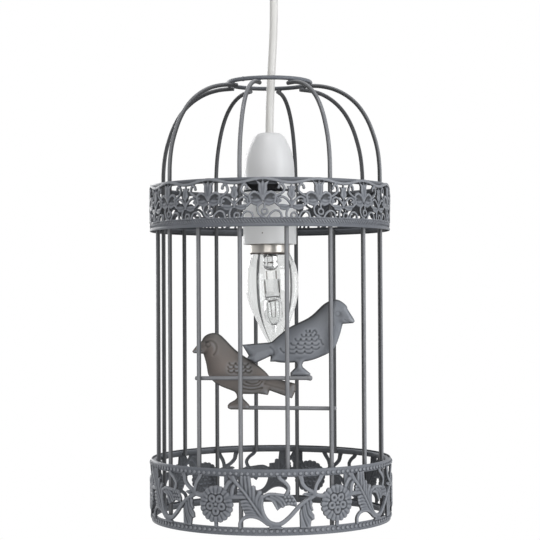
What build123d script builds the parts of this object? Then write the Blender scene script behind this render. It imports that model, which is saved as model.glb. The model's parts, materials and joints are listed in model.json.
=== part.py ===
from build123d import *
from math import acos, asin, atan2, cos, degrees, pi, radians, sin, sqrt
import os

os.makedirs("parts", exist_ok=True)

# Cage wires and bands: sizes in millimetres, heights above the cage's bottom edge
band_radius = 80.0
band_wall = 0.8
hoop_wall = 2.6
hoop_height = 3.0
bar_diameter = 2.8
bar_pairs = 8
first_bar_angle = 8.0
weld_gap = 0.05
dome_radius = 60.0
dome_start = 230.0
ring_radius = 27.8
bar_tip_inset = 3.2
bar_end_inset = 0.4

# Upper band: plain strip below, pierced palmettes with a waved edge above
upper_band_base = 191.7
upper_strip_height = 5.5
upper_ledge_height = 2.1
upper_ledge_proud = 0.5
upper_rope_proud = 0.3
upper_repeats = 14
upper_crest_angle = -3.1
upper_crest_height = 25.2
upper_wave_depth = 3.6
upper_rim_width = 2.2
scroll_width = 1.2

# Lower band: two beaded rims with flowers, leaves and vines between them
lower_band_height = 41.2
lower_top_rim = 5.0
lower_top_proud = 1.1
lower_bottom_rim = 5.4
lower_bottom_proud = 0.6
lower_rim_bevel = 1.2
front_repeats = 3
rear_repeats = 2
lower_repeat_angle = 56.5
lap_angle = 15.5
flower_angle = -25.5
flower_radius = 11.7
flower_height = 13.7
flower_petals = 18
petal_notch = 1.5
flower_heart = 6.4
heart_proud = 0.7
stem_width = 2.4
least_opening = 1.2
cut_reach = 4.0

# Strap across the upper hoop that carries the lampholder
strap_width = 19.3
strap_thickness = 1.35
strap_end_inset = 0.5
strap_angle = -3.8
strap_eye_radius = 17.4

# Perch rods and the two flat birds
rod_diameter = 2.6
bird_thickness = 2.0
upper_rod_height = 96.6
upper_rod_end_gap = 11.9
lower_rod_height = 77.4
lower_rod_heading = -10.95
lower_rod_length = 66.0
rod_overhang = 1.5
weld_radius = 1.3
weld_height = 30.0
breast_weld = 1.3
tail_tack = (-49.4, 13.6)
tail_weld = 0.75

# Lampholder, with depths below the top of the strap
holder_tube_radius = 14.25
holder_bore_radius = 11.2
holder_tube_drop = 34.75
holder_floor = 3.0
holder_flange_radius = 17.4
holder_flange_height = 2.4
holder_cap_radius = 16.9
holder_cap_height = 36.0
holder_clearance = 0.1
ring_skirt_radius = 17.9
ring_skirt_drop = 36.35
ring_skirt_depth = 12.0
ring_thread_wall = 1.6

# Bayonet lamp, with depths below the top of the strap and below its skirt
lamp_skirt_radius = 13.4
lamp_skirt_drop = 42.05
lamp_skirt_height = 5.6
lamp_skirt_wall = 0.6
lamp_shell_drop = 13.35
lamp_shell_clearance = 0.2
lamp_pin_radius = 1.0
lamp_pin_drop = 19.85
lamp_pin_reach = 13.0
lamp_pin_clearance = 0.3
glass_radius = 17.4
glass_length = 63.9
glass_neck = 3.0
glass_wall = 0.8
capsule_radius = 6.1
capsule_length = 16.8
capsule_drop = 31.0
capsule_tip = 5.4
pinch_length = 13.4
pinch_width = 10.6
pinch_thickness = 3.4
stem_length = 11.0
lead_diameter = 0.9
lead_spacing = 6.4
filament_drop = 11.5

# Flex and ceiling rose
ceiling_height = 438.0
flex_diameter = 5.5
flex_clearance = 0.15
flex_grip_depth = 9.0
flex_bend = 240.0
flex_bow = 4.6
rose_radius = 40.0
rose_depth = 33.0
rose_wall = 2.0
rose_base_depth = 10.0
rose_grip_depth = 22.0
rose_grip_floor = 3.5
rose_neck_radius = 9.0
rose_shadow_gap = 0.4
rose_rim_depth = 11.0
rose_hole_spacing = 51.0
rose_hole_radius = 2.3

# Radii that stack inwards from the band: sheet, hoop, bar
band_inner_radius = band_radius - band_wall
hoop_outer_radius = band_inner_radius - weld_gap
hoop_inner_radius = hoop_outer_radius - hoop_wall
bar_radius = bar_diameter / 2
bar_circle = hoop_inner_radius - weld_gap - bar_radius
bar_step = 180.0 / bar_pairs

# Heights that follow from the bands
upper_crest = upper_band_base + upper_crest_height + upper_strip_height
upper_hoop_base = upper_crest - hoop_height
strip_hoop_base = upper_band_base + upper_ledge_height / 2
rim_hoop_base = lower_band_height - lower_top_rim + (lower_top_rim - hoop_height) / 2
foot_hoop_base = (lower_bottom_rim - hoop_height) / 2
strap_top = upper_hoop_base - weld_gap
strap_bottom = strap_top - strap_thickness

# Heights of the lampholder and the lamp, which hang from the strap
flange_base = strap_top + weld_gap
flange_top = flange_base + holder_flange_height
holder_cap_base = flange_top + weld_gap
holder_cap_top = holder_cap_base + holder_cap_height
holder_tube_bottom = strap_top - holder_tube_drop
ring_skirt_bottom = strap_top - ring_skirt_drop
lamp_skirt_bottom = strap_top - lamp_skirt_drop
lamp_skirt_top = lamp_skirt_bottom + lamp_skirt_height
lamp_shell_top = strap_top - lamp_shell_drop
lamp_pin_height = strap_top - lamp_pin_drop
lamp_shell_radius = holder_bore_radius - lamp_shell_clearance
capsule_top = lamp_skirt_bottom - capsule_drop
capsule_bottom = capsule_top - capsule_length
pinch_top = capsule_top + pinch_length
stem_bottom = lamp_skirt_bottom - stem_length

# Dome: the arc's middle, and the ring that lies on the bars
dome_middle = bar_circle - dome_radius
ring_reach = dome_radius + bar_diameter + weld_gap
ring_height = dome_start + sqrt(ring_reach**2 - (ring_radius - dome_middle) ** 2)
dome_sweep = degrees(acos((ring_radius - bar_tip_inset - dome_middle) / dome_radius))

# Perch rods
rod_radius = rod_diameter / 2
rod_offset = bar_radius + rod_radius + weld_gap


def save(name, shape):
    """Lowers a piece from the cage's heights to the ceiling's and writes it."""
    export_step(Pos(0, 0, -ceiling_height) * shape, f"parts/{name}.step")


def outline(points):
    """Flat face inside a closed run of straight edges."""
    return make_face(Polyline(*points, close=True))


def turned(points):
    """Solid of revolution about the cage's axis from radius and height pairs."""
    return revolve(Plane.XZ * outline(points), Axis.Z)


def facing(angle):
    """Turn that brings a piece built along +X to an angle from the front."""
    return Rot(0, 0, angle - 90)


def on_band(angle, height):
    """Plane against the band's outside, facing outwards."""
    a = radians(angle)
    spot = (band_radius * sin(a), -band_radius * cos(a), height)
    return Plane(origin=spot, x_dir=(cos(a), sin(a), 0), z_dir=(sin(a), -cos(a), 0))


def across(along, height, shape):
    """Cutter through the band wall at a distance along its outside."""
    place = on_band(degrees(along / band_radius), height)
    return extrude(place * shape, cut_reach, both=True)


def sector(points, arc):
    """Slice of a band, its middle at the front, from radius and height pairs."""
    slice_of_band = revolve(Plane.XZ * outline(points), Axis.Z, revolution_arc=arc)
    return Rot(0, 0, -90 - arc / 2) * slice_of_band


def arch(radius):
    """Upper half of a disc, with straight edges."""
    return outline([(radius * cos(pi * k / 4), radius * sin(pi * k / 4)) for k in range(5)])


def ribbon(points, width):
    """Strip of even width along a run of points, mitred at its bends."""
    left = []
    right = []
    last = len(points) - 1
    for k, (u, v) in enumerate(points):
        before = Vector(*points[max(k, 1)]) - Vector(*points[max(k, 1) - 1])
        after = Vector(*points[min(k + 1, last)]) - Vector(*points[min(k + 1, last) - 1])
        along = before.normalized() + after.normalized()
        reach = width / along.length
        side = Vector(-along.Y, along.X).normalized() * reach
        left.append((u + side.X, v + side.Y))
        right.append((u - side.X, v - side.Y))
    return outline(left + right[::-1])


def curl(middle, radius, start, turn, steps):
    """Points along an arc."""
    turns = [radians(start + turn * k / steps) for k in range(steps + 1)]
    return [(middle[0] + radius * cos(t), middle[1] + radius * sin(t)) for t in turns]


def pair(reach, shape):
    """The same shape on both sides of the axis."""
    return Pos(-reach, 0, 0) * shape + Pos(reach, 0, 0) * shape


def lobe(root, angle, length, width):
    """Leaf lobe that starts at its root and points along an angle."""
    half = width / 2
    edge = [(0, 0.4 * half), (0.6 * length, half), (length, 0.3 * half)]
    leaf = outline(edge + [(u, -v) for u, v in edge[::-1]])
    return Pos(*root) * Rot(0, 0, angle) * leaf


def petal_ring(radius, petals, notch):
    """Flower outline: petals with notches between them."""
    step = 2 * pi / petals
    points = []
    for k in range(petals):
        for turn, reach in ((0.0, radius - notch), (0.5, radius)):
            angle = (k + turn) * step
            points.append((reach * cos(angle), reach * sin(angle)))
    return outline(points)


# Long bars from the foot hoop up over the dome, short bars between the bands
def long_bar():
    start = foot_hoop_base + bar_end_inset
    run = Line((bar_circle, start), (bar_circle, dome_start))
    dome = CenterArc((dome_middle, dome_start), dome_radius, 0, dome_sweep)
    path = Plane.XZ * (run + dome)
    return sweep(Pos(bar_circle, 0, start) * Circle(bar_radius), path=path)


def short_bar():
    start = rim_hoop_base + bar_end_inset
    end = strip_hoop_base + hoop_height - bar_end_inset
    return Pos(bar_circle, 0, start) * extrude(Circle(bar_radius), end - start)


def hoop(base):
    outside = Circle(hoop_outer_radius)
    inside = Circle(hoop_inner_radius)
    return Pos(0, 0, base) * extrude(outside - inside, hoop_height)


# Upper band: one repeat with a tall palmette at its middle and low ones at its ends
def tulip(height, neck, spread, stem):
    """Palmette: a stem that opens towards the waved edge."""
    right = [(stem, 0), (neck, height * 0.6), (spread, height)]
    return outline(right + [(-u, v) for u, v in right[::-1]])


def filigree(half, crest):
    """Scrollwork of one repeat, laid flat, with its foot on the plain strip."""
    wire = scroll_width
    shape = Pos(0, crest * 0.40) * tulip(crest * 0.58, 1.7, 5.0, 1.2)
    shape += ribbon([(0, 4.0), (0, crest * 0.45)], wire)
    shape += Pos(0, 3.3) * RegularPolygon(2.7, 6)
    holes = Pos(0, 3.3) * RegularPolygon(2.7 - wire, 6)
    for side in (-1, 1):
        end = side * half
        eye = Pos(side * 4.9, 11.2)
        low_eye = Pos(end - side * 4.0, 8.4)
        foot = Pos(side * 9.2, 0)
        hook = curl((side * 10.9, 16.8), 2.7, 90 - side * 20, side * 240, 4)
        shape += eye * RegularPolygon(4.0, 8)
        shape += low_eye * RegularPolygon(3.6, 8)
        shape += foot * RegularPolygon(3.8, 8)
        shape += ribbon(curl((0, 4.2), 4.7, 270, side * 95, 3), wire)
        shape += ribbon([(side * 8.2, 2.6), (side * 6.2, 8.2)], wire)
        shape += ribbon([(side * 8.0, 10.2), (side * 11.2, 8.8)], wire)
        shape += ribbon([(side * 11.6, 23.5)] + hook, wire)
        shape += Pos(end, crest * 0.42) * tulip(crest * 0.44, 1.6, 2.9, 1.1)
        shape += ribbon([(end, 0), (end, crest * 0.5)], 1.3 * wire)
        shape += ribbon([(end - side * 4.8, -1), (end - side * 3.6, 6.0)], wire)
        holes += eye * arch(4.0 - wire)
        holes += low_eye * arch(3.6 - wire)
        holes += foot * RegularPolygon(3.8 - wire, 8)
    return shape - holes


def upper_band():
    arc = 360.0 / upper_repeats
    half = pi * band_radius / upper_repeats
    strip_top = upper_band_base + upper_strip_height
    ledge_top = upper_band_base + upper_ledge_height
    unit = sector(
        [
            (band_inner_radius, upper_band_base),
            (band_radius + upper_ledge_proud, upper_band_base),
            (band_radius + upper_ledge_proud, ledge_top),
            (band_radius + upper_rope_proud, ledge_top),
            (band_radius + upper_rope_proud, strip_top),
            (band_radius, strip_top),
            (band_radius, upper_crest),
            (band_inner_radius, upper_crest),
        ],
        arc,
    )
    wave = [(half * k / 3, -upper_wave_depth * (1 - cos(pi * k / 3)) / 2) for k in range(-4, 5)]
    above = outline(wave + [(wave[-1][0], cut_reach), (wave[0][0], cut_reach)])
    cutters = [across(0.0, upper_crest, above)]
    rim = [(u, v + upper_crest_height - upper_rim_width) for u, v in wave]
    open_area = outline(rim + [(wave[-1][0], 0), (wave[0][0], 0)]) - filigree(half, upper_crest_height)
    for face in open_area.faces():
        middle = face.center().X
        if face.area > least_opening:
            cutters.append(across(middle, strip_top, Pos(-middle, 0) * face))
    unit = unit - cutters
    copies = [Rot(0, 0, upper_crest_angle + k * arc) * unit for k in range(upper_repeats)]
    return copies[0].fuse(*copies[1:])


# Lower band: flowers and sprays between two rims
def lower_openings(width, flowers, sprays):
    """Faces left open between the rims, laid flat, each a sketch of its own."""
    top = lower_band_height - lower_top_rim - lower_bottom_rim
    solid = Sketch()
    for u in flowers:
        solid += Pos(u, flower_height) * petal_ring(flower_radius, flower_petals, petal_notch)
        solid += ribbon([(u, -1), (u, flower_height - flower_radius + 2)], stem_width)
    for u in sprays:
        solid += Pos(u, 0) * spray(width, top)
    frame = Pos(width / 2, top / 2) * Rectangle(width + 8, top)
    return [face for face in (frame - solid).faces() if face.area > least_opening]


def spray(width, top):
    """Leaf, vine, bud and small leaf between two flowers, drawn on a 79 by 31 grid."""

    def at(u, v):
        return (u * width / 79.0, v * top / 31.0)

    def vine(*points, thick=stem_width):
        return ribbon([at(*p) for p in points], thick)

    stout = stem_width + 0.4
    shape = vine((9.0, 32.0), (20.5, 17.4), (34.5, 1.6))
    for k in range(5):
        root = at(15.0 + 3.4 * k, 24.0 - 4.2 * k)
        shape += lobe(root, 176 + 2 * k, 6.0 + 1.0 * k, 4.9)
        shape += lobe(root, 84 - 4 * k, 8.0 + 0.7 * k, 4.6)
    shape += vine((10.0, 18.4), (18.0, 18.6))
    shape += vine((14.8, -0.5), (16.4, 3.2), (21.0, 5.2), (31.0, 4.2))
    shape += vine((33.0, 0.0), (42.0, 0.0), thick=4.4)
    shape += vine((36.0, 1.4), (31.6, 6.4), (30.2, 13.0), (32.6, 18.0), (37.0, 19.8))
    shape += lobe(at(32.0, 19.2), -57, 11.0, 3.8)
    shape += lobe(at(35.0, 19.6), -48, 10.0, 4.2)
    shape += lobe(at(35.5, 20.0), -25, 17.0, 7.2)
    shape += vine((44.0, 18.6), (45.6, 23.0), (44.4, 28.0), (40.4, 32.0))
    shape += vine((38.5, 1.2), (45.0, 4.4), (53.0, 11.8), (62.8, 19.8), thick=stout)
    shape += vine((62.6, 19.4), (57.2, 23.2), (54.6, 27.6), (54.0, 32.0), thick=stout)
    shape += vine((62.4, 19.0), (63.2, 25.0), (66.0, 32.0), thick=stout)
    shape += lobe(at(63.0, 19.6), 178, 8.6, 3.0)
    shape += vine((62.5, 19.6), (70.0, 17.0), thick=stout)
    shape += vine((60.6, 17.6), (56.4, 9.5), (55.2, -1.0), thick=3.6)
    shape += lobe(at(57.0, 14.2), -35, 7.0, 3.6)
    shape += lobe(at(55.6, 10.6), -44, 9.4, 4.4)
    shape += lobe(at(55.2, 6.4), -51, 8.0, 3.8)
    return shape


def lower_slice(arc, flowers, sprays):
    """Slice of the lower band with its openings cut, its middle at the front."""
    rim = lower_band_height - lower_top_rim
    proud_top = band_radius + lower_top_proud
    proud_foot = band_radius + lower_bottom_proud
    part = sector(
        [
            (band_inner_radius, 0),
            (band_radius, 0),
            (proud_foot, lower_rim_bevel),
            (proud_foot, lower_bottom_rim - lower_rim_bevel),
            (band_radius, lower_bottom_rim),
            (band_radius, rim),
            (proud_top, rim + lower_rim_bevel),
            (proud_top, lower_band_height - lower_rim_bevel),
            (band_radius, lower_band_height),
            (band_inner_radius, lower_band_height),
        ],
        arc,
    )
    width = radians(arc) * band_radius
    cutters = []
    for face in lower_openings(width, flowers, sprays):
        middle = face.center().X
        cutters.append(across(middle - width / 2, lower_bottom_rim, Pos(-middle, 0) * face))
    return part - cutters


def lower_band():
    """Front strip and rear strip, lapped at the right and joined at the left."""
    joint_angle = 360.0 - lap_angle - (front_repeats + rear_repeats) * lower_repeat_angle
    width = radians(lower_repeat_angle) * band_radius
    lap_width = radians(lap_angle) * band_radius
    joint_width = radians(joint_angle) * band_radius
    unit = (lower_repeat_angle, lower_slice(lower_repeat_angle, (0, width), (0,)))
    lap = (lap_angle, lower_slice(lap_angle, (0, lap_width), ()))
    joint = (joint_angle, lower_slice(joint_angle, (0, joint_width), (0,)))
    pieces = []
    angle = flower_angle - lower_repeat_angle
    for arc, piece in [unit] * front_repeats + [lap] + [unit] * rear_repeats + [joint]:
        pieces.append(Rot(0, 0, angle + arc / 2) * piece)
        place = on_band(angle, lower_bottom_rim + flower_height)
        sunk = place.offset(-band_wall / 2)
        pieces.append(extrude(sunk * petal_ring(flower_heart, 6, 1.8), band_wall / 2 + heart_proud))
        pieces.append(extrude(sunk * RegularPolygon(1.9, 10), band_wall / 2 + 2 * heart_proud))
        angle += arc
    return pieces[0].fuse(*pieces[1:])


# Strap with an eye for the lampholder's thread
def fitter_strap():
    length = 2 * (hoop_outer_radius - strap_end_inset)
    plan = Rectangle(strap_width, length) & Circle(length / 2)
    plan = plan + Circle(strap_eye_radius)
    plan = plan - Circle(holder_tube_radius + holder_clearance)
    return Rot(0, 0, strap_angle) * Pos(0, 0, strap_bottom) * extrude(plan, strap_thickness)


# Rods on the inside of the bars, and the birds welded to them
def bar_spot(angle, height):
    """Point on a bar's axis."""
    a = radians(angle)
    return Vector(bar_circle * sin(a), -bar_circle * cos(a), height)


def rod_plane(bar_angle, height, heading, depth):
    """Plane on a rod's axis, facing the front, at a depth behind a bar's axis."""
    h = radians(heading)
    inward = Vector(-sin(h), cos(h), 0)
    spot = bar_spot(bar_angle, height) + inward * depth
    return Plane(origin=spot, x_dir=(cos(h), sin(h), 0), z_dir=inward * -1)


upper_rod_bar = first_bar_angle - 2 * bar_step
lower_rod_bar = first_bar_angle + bar_step
bird_seat = rod_radius + weld_gap
breast_depth = bar_radius + weld_gap + breast_weld - bird_seat
rod_chord = bar_spot(lower_rod_bar, 0) - bar_spot(upper_rod_bar, 0)
upper_rod_turn = degrees(asin((breast_depth - rod_offset) / rod_chord.length))
upper_rod_heading = degrees(atan2(rod_chord.Y, rod_chord.X)) + upper_rod_turn
upper_rod_plane = rod_plane(lower_rod_bar, upper_rod_height, upper_rod_heading, breast_depth)
lower_rod_plane = rod_plane(lower_rod_bar, lower_rod_height, lower_rod_heading, rod_offset)
upper_rod_start = upper_rod_plane.to_local_coords(bar_spot(upper_rod_bar, upper_rod_height)).X


def rod(plane, start, end):
    side = Plane(origin=plane.from_local_coords((start, 0, 0)), z_dir=plane.x_dir)
    return extrude(side * Circle(rod_radius), end - start)


def bird(body, tail, leg, beak):
    """Flat bird: a smooth body, a forked tail, a beak and a foot on its leg."""
    return make_face(Spline(*body, body[0])) + outline(tail) + outline(leg) + outline(beak)


def right_bird():
    body = [
        (-39.4, 21.4), (-27.2, 31.4), (-13.6, 38.4), (-4.1, 46.8), (3.2, 49.4), (9.0, 46.2), (10.2, 42.6),
        (7.2, 33.4), (5.2, 26.4), (1.8, 18.6), (-4.8, 14.0), (-17.4, 10.2), (-36.4, 10.6),
    ]
    tail = [(-56.6, 21.0), (-52.4, 14.2), (-53.7, 12.6), (-48.4, 10.5), (-33.4, 15.4), (-33.4, 22.6)]
    leg = [
        (-21.6, 11.6), (-17.4, 11.4), (-17.2, 7.4), (-11.1, 3.2), (-11.1, 0.6), (-26.0, 0.6), (-26.0, 3.0),
        (-22.2, 6.8),
    ]
    beak = [(8.0, 33.6), (14.9, 35.2), (14.2, 36.8), (8.6, 45.0)]
    front = upper_rod_plane.offset(-bird_seat)
    back = upper_rod_plane.offset(-bird_seat - bird_thickness)
    plate = extrude(front * bird(body, tail, leg, beak), -bird_thickness)
    weld = extrude(Pos(0, weld_height) * Circle(weld_radius), breast_weld)
    tack = extrude(Pos(*tail_tack) * Circle(weld_radius), -tail_weld)
    return plate + front * weld + back * tack


def left_bird():
    body = [
        (-83.4, 37.6), (-80.4, 44.6), (-75.8, 47.4), (-70.8, 45.6), (-60.7, 35.8), (-47.8, 27.5),
        (-39.6, 19.0), (-41.0, 10.4), (-56.5, 8.8), (-65.0, 11.2), (-73.8, 14.9), (-79.2, 20.2),
        (-81.0, 28.3),
    ]
    tail = [
        (-46.0, 21.0), (-23.3, 15.6), (-22.8, 12.0), (-25.5, 6.2), (-39.9, 11.2), (-41.0, 8.2), (-46.0, 9.2),
    ]
    leg = [
        (-60.3, 10.0), (-56.3, 10.0), (-56.0, 5.3), (-52.3, 2.6), (-52.3, -0.6), (-67.2, -0.6), (-67.2, 2.4),
        (-60.9, 5.2),
    ]
    beak = [(-82.0, 33.4), (-88.7, 34.6), (-88.2, 36.4), (-83.0, 41.8)]
    return extrude(lower_rod_plane.offset(bird_seat) * bird(body, tail, leg, beak), bird_thickness)


# Lampholder: tube and flange through the strap's eye, dome cap above, skirted ring below
def holder_body():
    floor = lamp_shell_top + 2 * holder_floor
    body = turned(
        [
            (0, floor), (holder_bore_radius, floor), (holder_bore_radius, holder_tube_bottom),
            (holder_tube_radius, holder_tube_bottom), (holder_tube_radius, flange_base),
            (holder_flange_radius, flange_base), (holder_flange_radius, flange_top), (0, flange_top),
        ]
    )
    reach = 2 * (lamp_pin_reach + lamp_pin_clearance)
    width = 2 * (lamp_pin_radius + lamp_pin_clearance)
    depth = lamp_pin_height + lamp_pin_radius + lamp_pin_clearance - holder_tube_bottom
    slot = Box(reach, width, depth, align=(Align.CENTER, Align.CENTER, Align.MIN))
    return body - Pos(0, 0, holder_tube_bottom) * slot


def holder_cap():
    hole = flex_diameter / 2 + flex_clearance
    grip = holder_cap_top - flex_grip_depth - weld_gap
    dome = [
        (1.0, 0.0), (0.995, 0.23), (0.97, 0.445), (0.895, 0.63), (0.735, 0.815), (0.665, 0.88),
        (0.455, 0.985), (0.39, 1.0),
    ]
    outside = [(holder_cap_radius * r, holder_cap_base + holder_cap_height * h) for r, h in dome]
    return turned([(0, holder_cap_base)] + outside + [(hole, holder_cap_top), (hole, grip), (0, grip)])


def shade_ring():
    inner = holder_tube_radius + holder_clearance
    socket = inner + ring_thread_wall
    top = strap_bottom - weld_gap
    edge = holder_clearance + 0.5
    return turned(
        [
            (inner, top), (ring_skirt_radius, top), (ring_skirt_radius, ring_skirt_bottom + edge),
            (ring_skirt_radius - edge, ring_skirt_bottom), (socket, ring_skirt_bottom),
            (socket, ring_skirt_bottom + ring_skirt_depth),
            (inner, ring_skirt_bottom + ring_skirt_depth + ring_thread_wall),
        ]
    )


# Lamp: bayonet cap, candle glass, stem, leads, capsule and filament
def lamp_cap():
    seat = lamp_skirt_radius - lamp_skirt_wall
    roof = lamp_skirt_top - 1.0
    cap = turned(
        [
            (seat, lamp_skirt_bottom), (lamp_skirt_radius, lamp_skirt_bottom),
            (lamp_skirt_radius, lamp_skirt_top), (lamp_shell_radius, lamp_skirt_top + 1.6),
            (lamp_shell_radius, lamp_shell_top - 2.0),
            (0.78 * lamp_shell_radius, lamp_shell_top), (0, lamp_shell_top), (0, roof), (seat, roof),
        ]
    )
    pin = Pos(0, 0, lamp_pin_height) * Rot(0, 90, 0) * Cylinder(lamp_pin_radius, 2 * lamp_pin_reach)
    contact = Pos(0, 0, lamp_shell_top + 0.6) * Cylinder(0.15 * lamp_shell_radius, 1.6)
    return cap + pin + pair(0.38 * lamp_shell_radius, contact)


def lamp_envelope():
    neck = lamp_skirt_bottom + glass_neck
    candle = [
        (0.725, 0.0), (0.885, 0.10), (0.98, 0.215), (1.0, 0.315), (0.98, 0.40), (0.89, 0.515), (0.725, 0.65),
        (0.485, 0.81), (0.30, 0.92), (0.14, 0.98), (0.0, 1.0),
    ]
    outer = [(glass_radius * r, lamp_skirt_bottom - glass_length * h) for r, h in candle]
    kept = candle[1:8:2]
    inner = [(glass_radius * r - glass_wall, lamp_skirt_bottom - glass_length * h) for r, h in kept]
    tip = (0, outer[-1][1] + 2 * glass_wall)
    rim = [(outer[0][0] - glass_wall, neck), (outer[0][0], neck)]
    return turned(outer + [tip] + inner[::-1] + rim)


def lamp_stem():
    top = lamp_skirt_top - 1.0 - weld_gap
    flare = 0.5 * stem_length
    return turned(
        [
            (0, top), (9.0, top), (5.6, top - flare), (5.2, stem_bottom + 1.5),
            (lead_spacing / 2 + lead_diameter, stem_bottom), (0, stem_bottom),
        ]
    )


def lamp_lead(side):
    length = stem_bottom - pinch_top - 2 * weld_gap
    return Pos(side * lead_spacing / 2, 0, pinch_top + weld_gap) * extrude(Circle(lead_diameter / 2), length)


def lamp_capsule():
    inside = capsule_radius - glass_wall
    dome = 0.3 * capsule_length
    tip = capsule_bottom - capsule_tip
    floor = capsule_bottom + glass_wall
    roof = capsule_top - glass_wall
    shell = turned(
        [
            (0, capsule_top), (capsule_radius - 0.7, capsule_top), (capsule_radius, capsule_top - 1.2),
            (capsule_radius, capsule_bottom + dome), (0.74 * capsule_radius, capsule_bottom + 0.36 * dome),
            (0.33 * capsule_radius, capsule_bottom), (0.18 * capsule_radius, tip + 0.4), (0, tip),
            (0, floor), (0.33 * inside, floor), (0.74 * inside, floor + 0.3 * dome),
            (inside, capsule_bottom + dome), (inside, roof - 1.0), (inside - 0.6, roof), (0, roof),
        ]
    )
    root = 0.4
    pinch = Box(
        pinch_width, pinch_thickness, pinch_length + root, align=(Align.CENTER, Align.CENTER, Align.MIN)
    )
    return shell + Pos(0, 0, capsule_top - root) * pinch


def lamp_filament():
    top = capsule_top - glass_wall - weld_gap
    reach = lead_spacing / 2
    foot = top - filament_drop
    path = Polyline((-reach, 0, top), (-reach, 0, foot), (reach, 0, foot), (reach, 0, top))
    profile = Pos(-reach, 0, top) * RegularPolygon(lead_diameter / 2, 6)
    return sweep(profile, path=path, transition=Transition.RIGHT)


# Flex: straight runs joined by tangent arcs, from the holder cap's grip to the rose
flex_route = [
    (0.0, 0.0, holder_cap_top - flex_grip_depth),
    (0.0, 0.0, holder_cap_top + 16.0),
    (flex_bow, 0.0, 0.45 * holder_cap_top + 0.55 * (ceiling_height - rose_depth + 16.0)),
    (0.0, 0.0, ceiling_height - rose_depth - 3.0),
    (0.0, 0.0, ceiling_height - rose_base_depth - rose_grip_floor - 0.5),
]


def flex():
    path = FilletPolyline(*flex_route, radius=flex_bend)
    body = sweep(Pos(*flex_route[0]) * Circle(flex_diameter / 2), path=path)
    section = pi * flex_diameter**2 / 4
    print(f"flex length {path.length:.1f} mm, bends of radius {flex_bend:.0f} mm")
    print(f"flex volume {body.volume:.0f} mm3, section times length {section * path.length:.0f} mm3")
    return body


# Ceiling rose: base with two screw holes and a cord grip, and a cover round it
def rose_base():
    hole = flex_diameter / 2 + flex_clearance
    edge = rose_radius - rose_wall - holder_clearance
    floor = ceiling_height - rose_base_depth
    grip = ceiling_height - rose_grip_depth
    base = turned(
        [
            (0, ceiling_height), (edge, ceiling_height), (edge, floor), (rose_neck_radius, floor),
            (rose_neck_radius, grip), (hole, grip), (hole, floor - rose_grip_floor),
            (0, floor - rose_grip_floor),
        ]
    )
    drill = Pos(0, 0, ceiling_height) * Cylinder(rose_hole_radius, 4 * rose_base_depth)
    return base - pair(rose_hole_spacing / 2, drill)


def rose_cover():
    top = ceiling_height - rose_shadow_gap
    rim = top - rose_rim_depth
    foot = ceiling_height - rose_depth
    hole = flex_diameter / 2 + flex_clearance
    inner = rose_radius - rose_wall
    return turned(
        [
            (rose_radius, top), (rose_radius, rim), (rose_radius - 4.0, foot + 12.0),
            (rose_radius - 14.0, foot + 4.0), (rose_neck_radius, foot), (hole, foot), (hole, foot + 2.0),
            (rose_neck_radius + 1.0, foot + 2.2),
            (inner - 14.0, foot + 6.2), (inner - 4.0, foot + 13.4), (inner, rim), (inner, top),
        ]
    )


# Pieces, one file each
bar = long_bar()
stub = short_bar()
for k in range(bar_pairs):
    angle = first_bar_angle + 2 * k * bar_step
    save(f"long_bar_{k + 1}", facing(angle + bar_step) * bar)
    save(f"short_bar_{k + 1}", facing(angle) * stub)
save("top_ring", Pos(0, 0, ring_height) * Torus(ring_radius, bar_radius))
save("upper_hoop", hoop(upper_hoop_base))
save("strip_hoop", hoop(strip_hoop_base))
save("rim_hoop", hoop(rim_hoop_base))
save("foot_hoop", hoop(foot_hoop_base))
save("upper_band", upper_band())
save("lower_band", lower_band())
save("fitter_strap", fitter_strap())
save("upper_perch", rod(upper_rod_plane, upper_rod_start - bar_radius - rod_overhang, -upper_rod_end_gap))
save("lower_perch", rod(lower_rod_plane, -lower_rod_length, bar_radius + rod_overhang))
save("right_bird", right_bird())
save("left_bird", left_bird())
save("holder_body", holder_body())
save("holder_cap", holder_cap())
save("shade_ring", shade_ring())
save("lamp_cap", lamp_cap())
save("lamp_envelope", lamp_envelope())
save("lamp_stem", lamp_stem())
save("lamp_lead_1", lamp_lead(-1))
save("lamp_lead_2", lamp_lead(1))
save("lamp_capsule", lamp_capsule())
save("lamp_filament", lamp_filament())
save("flex", flex())
save("rose_base", rose_base())
save("rose_cover", rose_cover())
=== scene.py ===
"""Looks of the birdcage lamp shade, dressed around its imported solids."""

from __future__ import annotations

import json
import logging
import math
from dataclasses import dataclass, field
from enum import Enum
from typing import Callable, Sequence

import bmesh
import bpy
import numpy as np
from mathutils import Matrix, Vector

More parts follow.
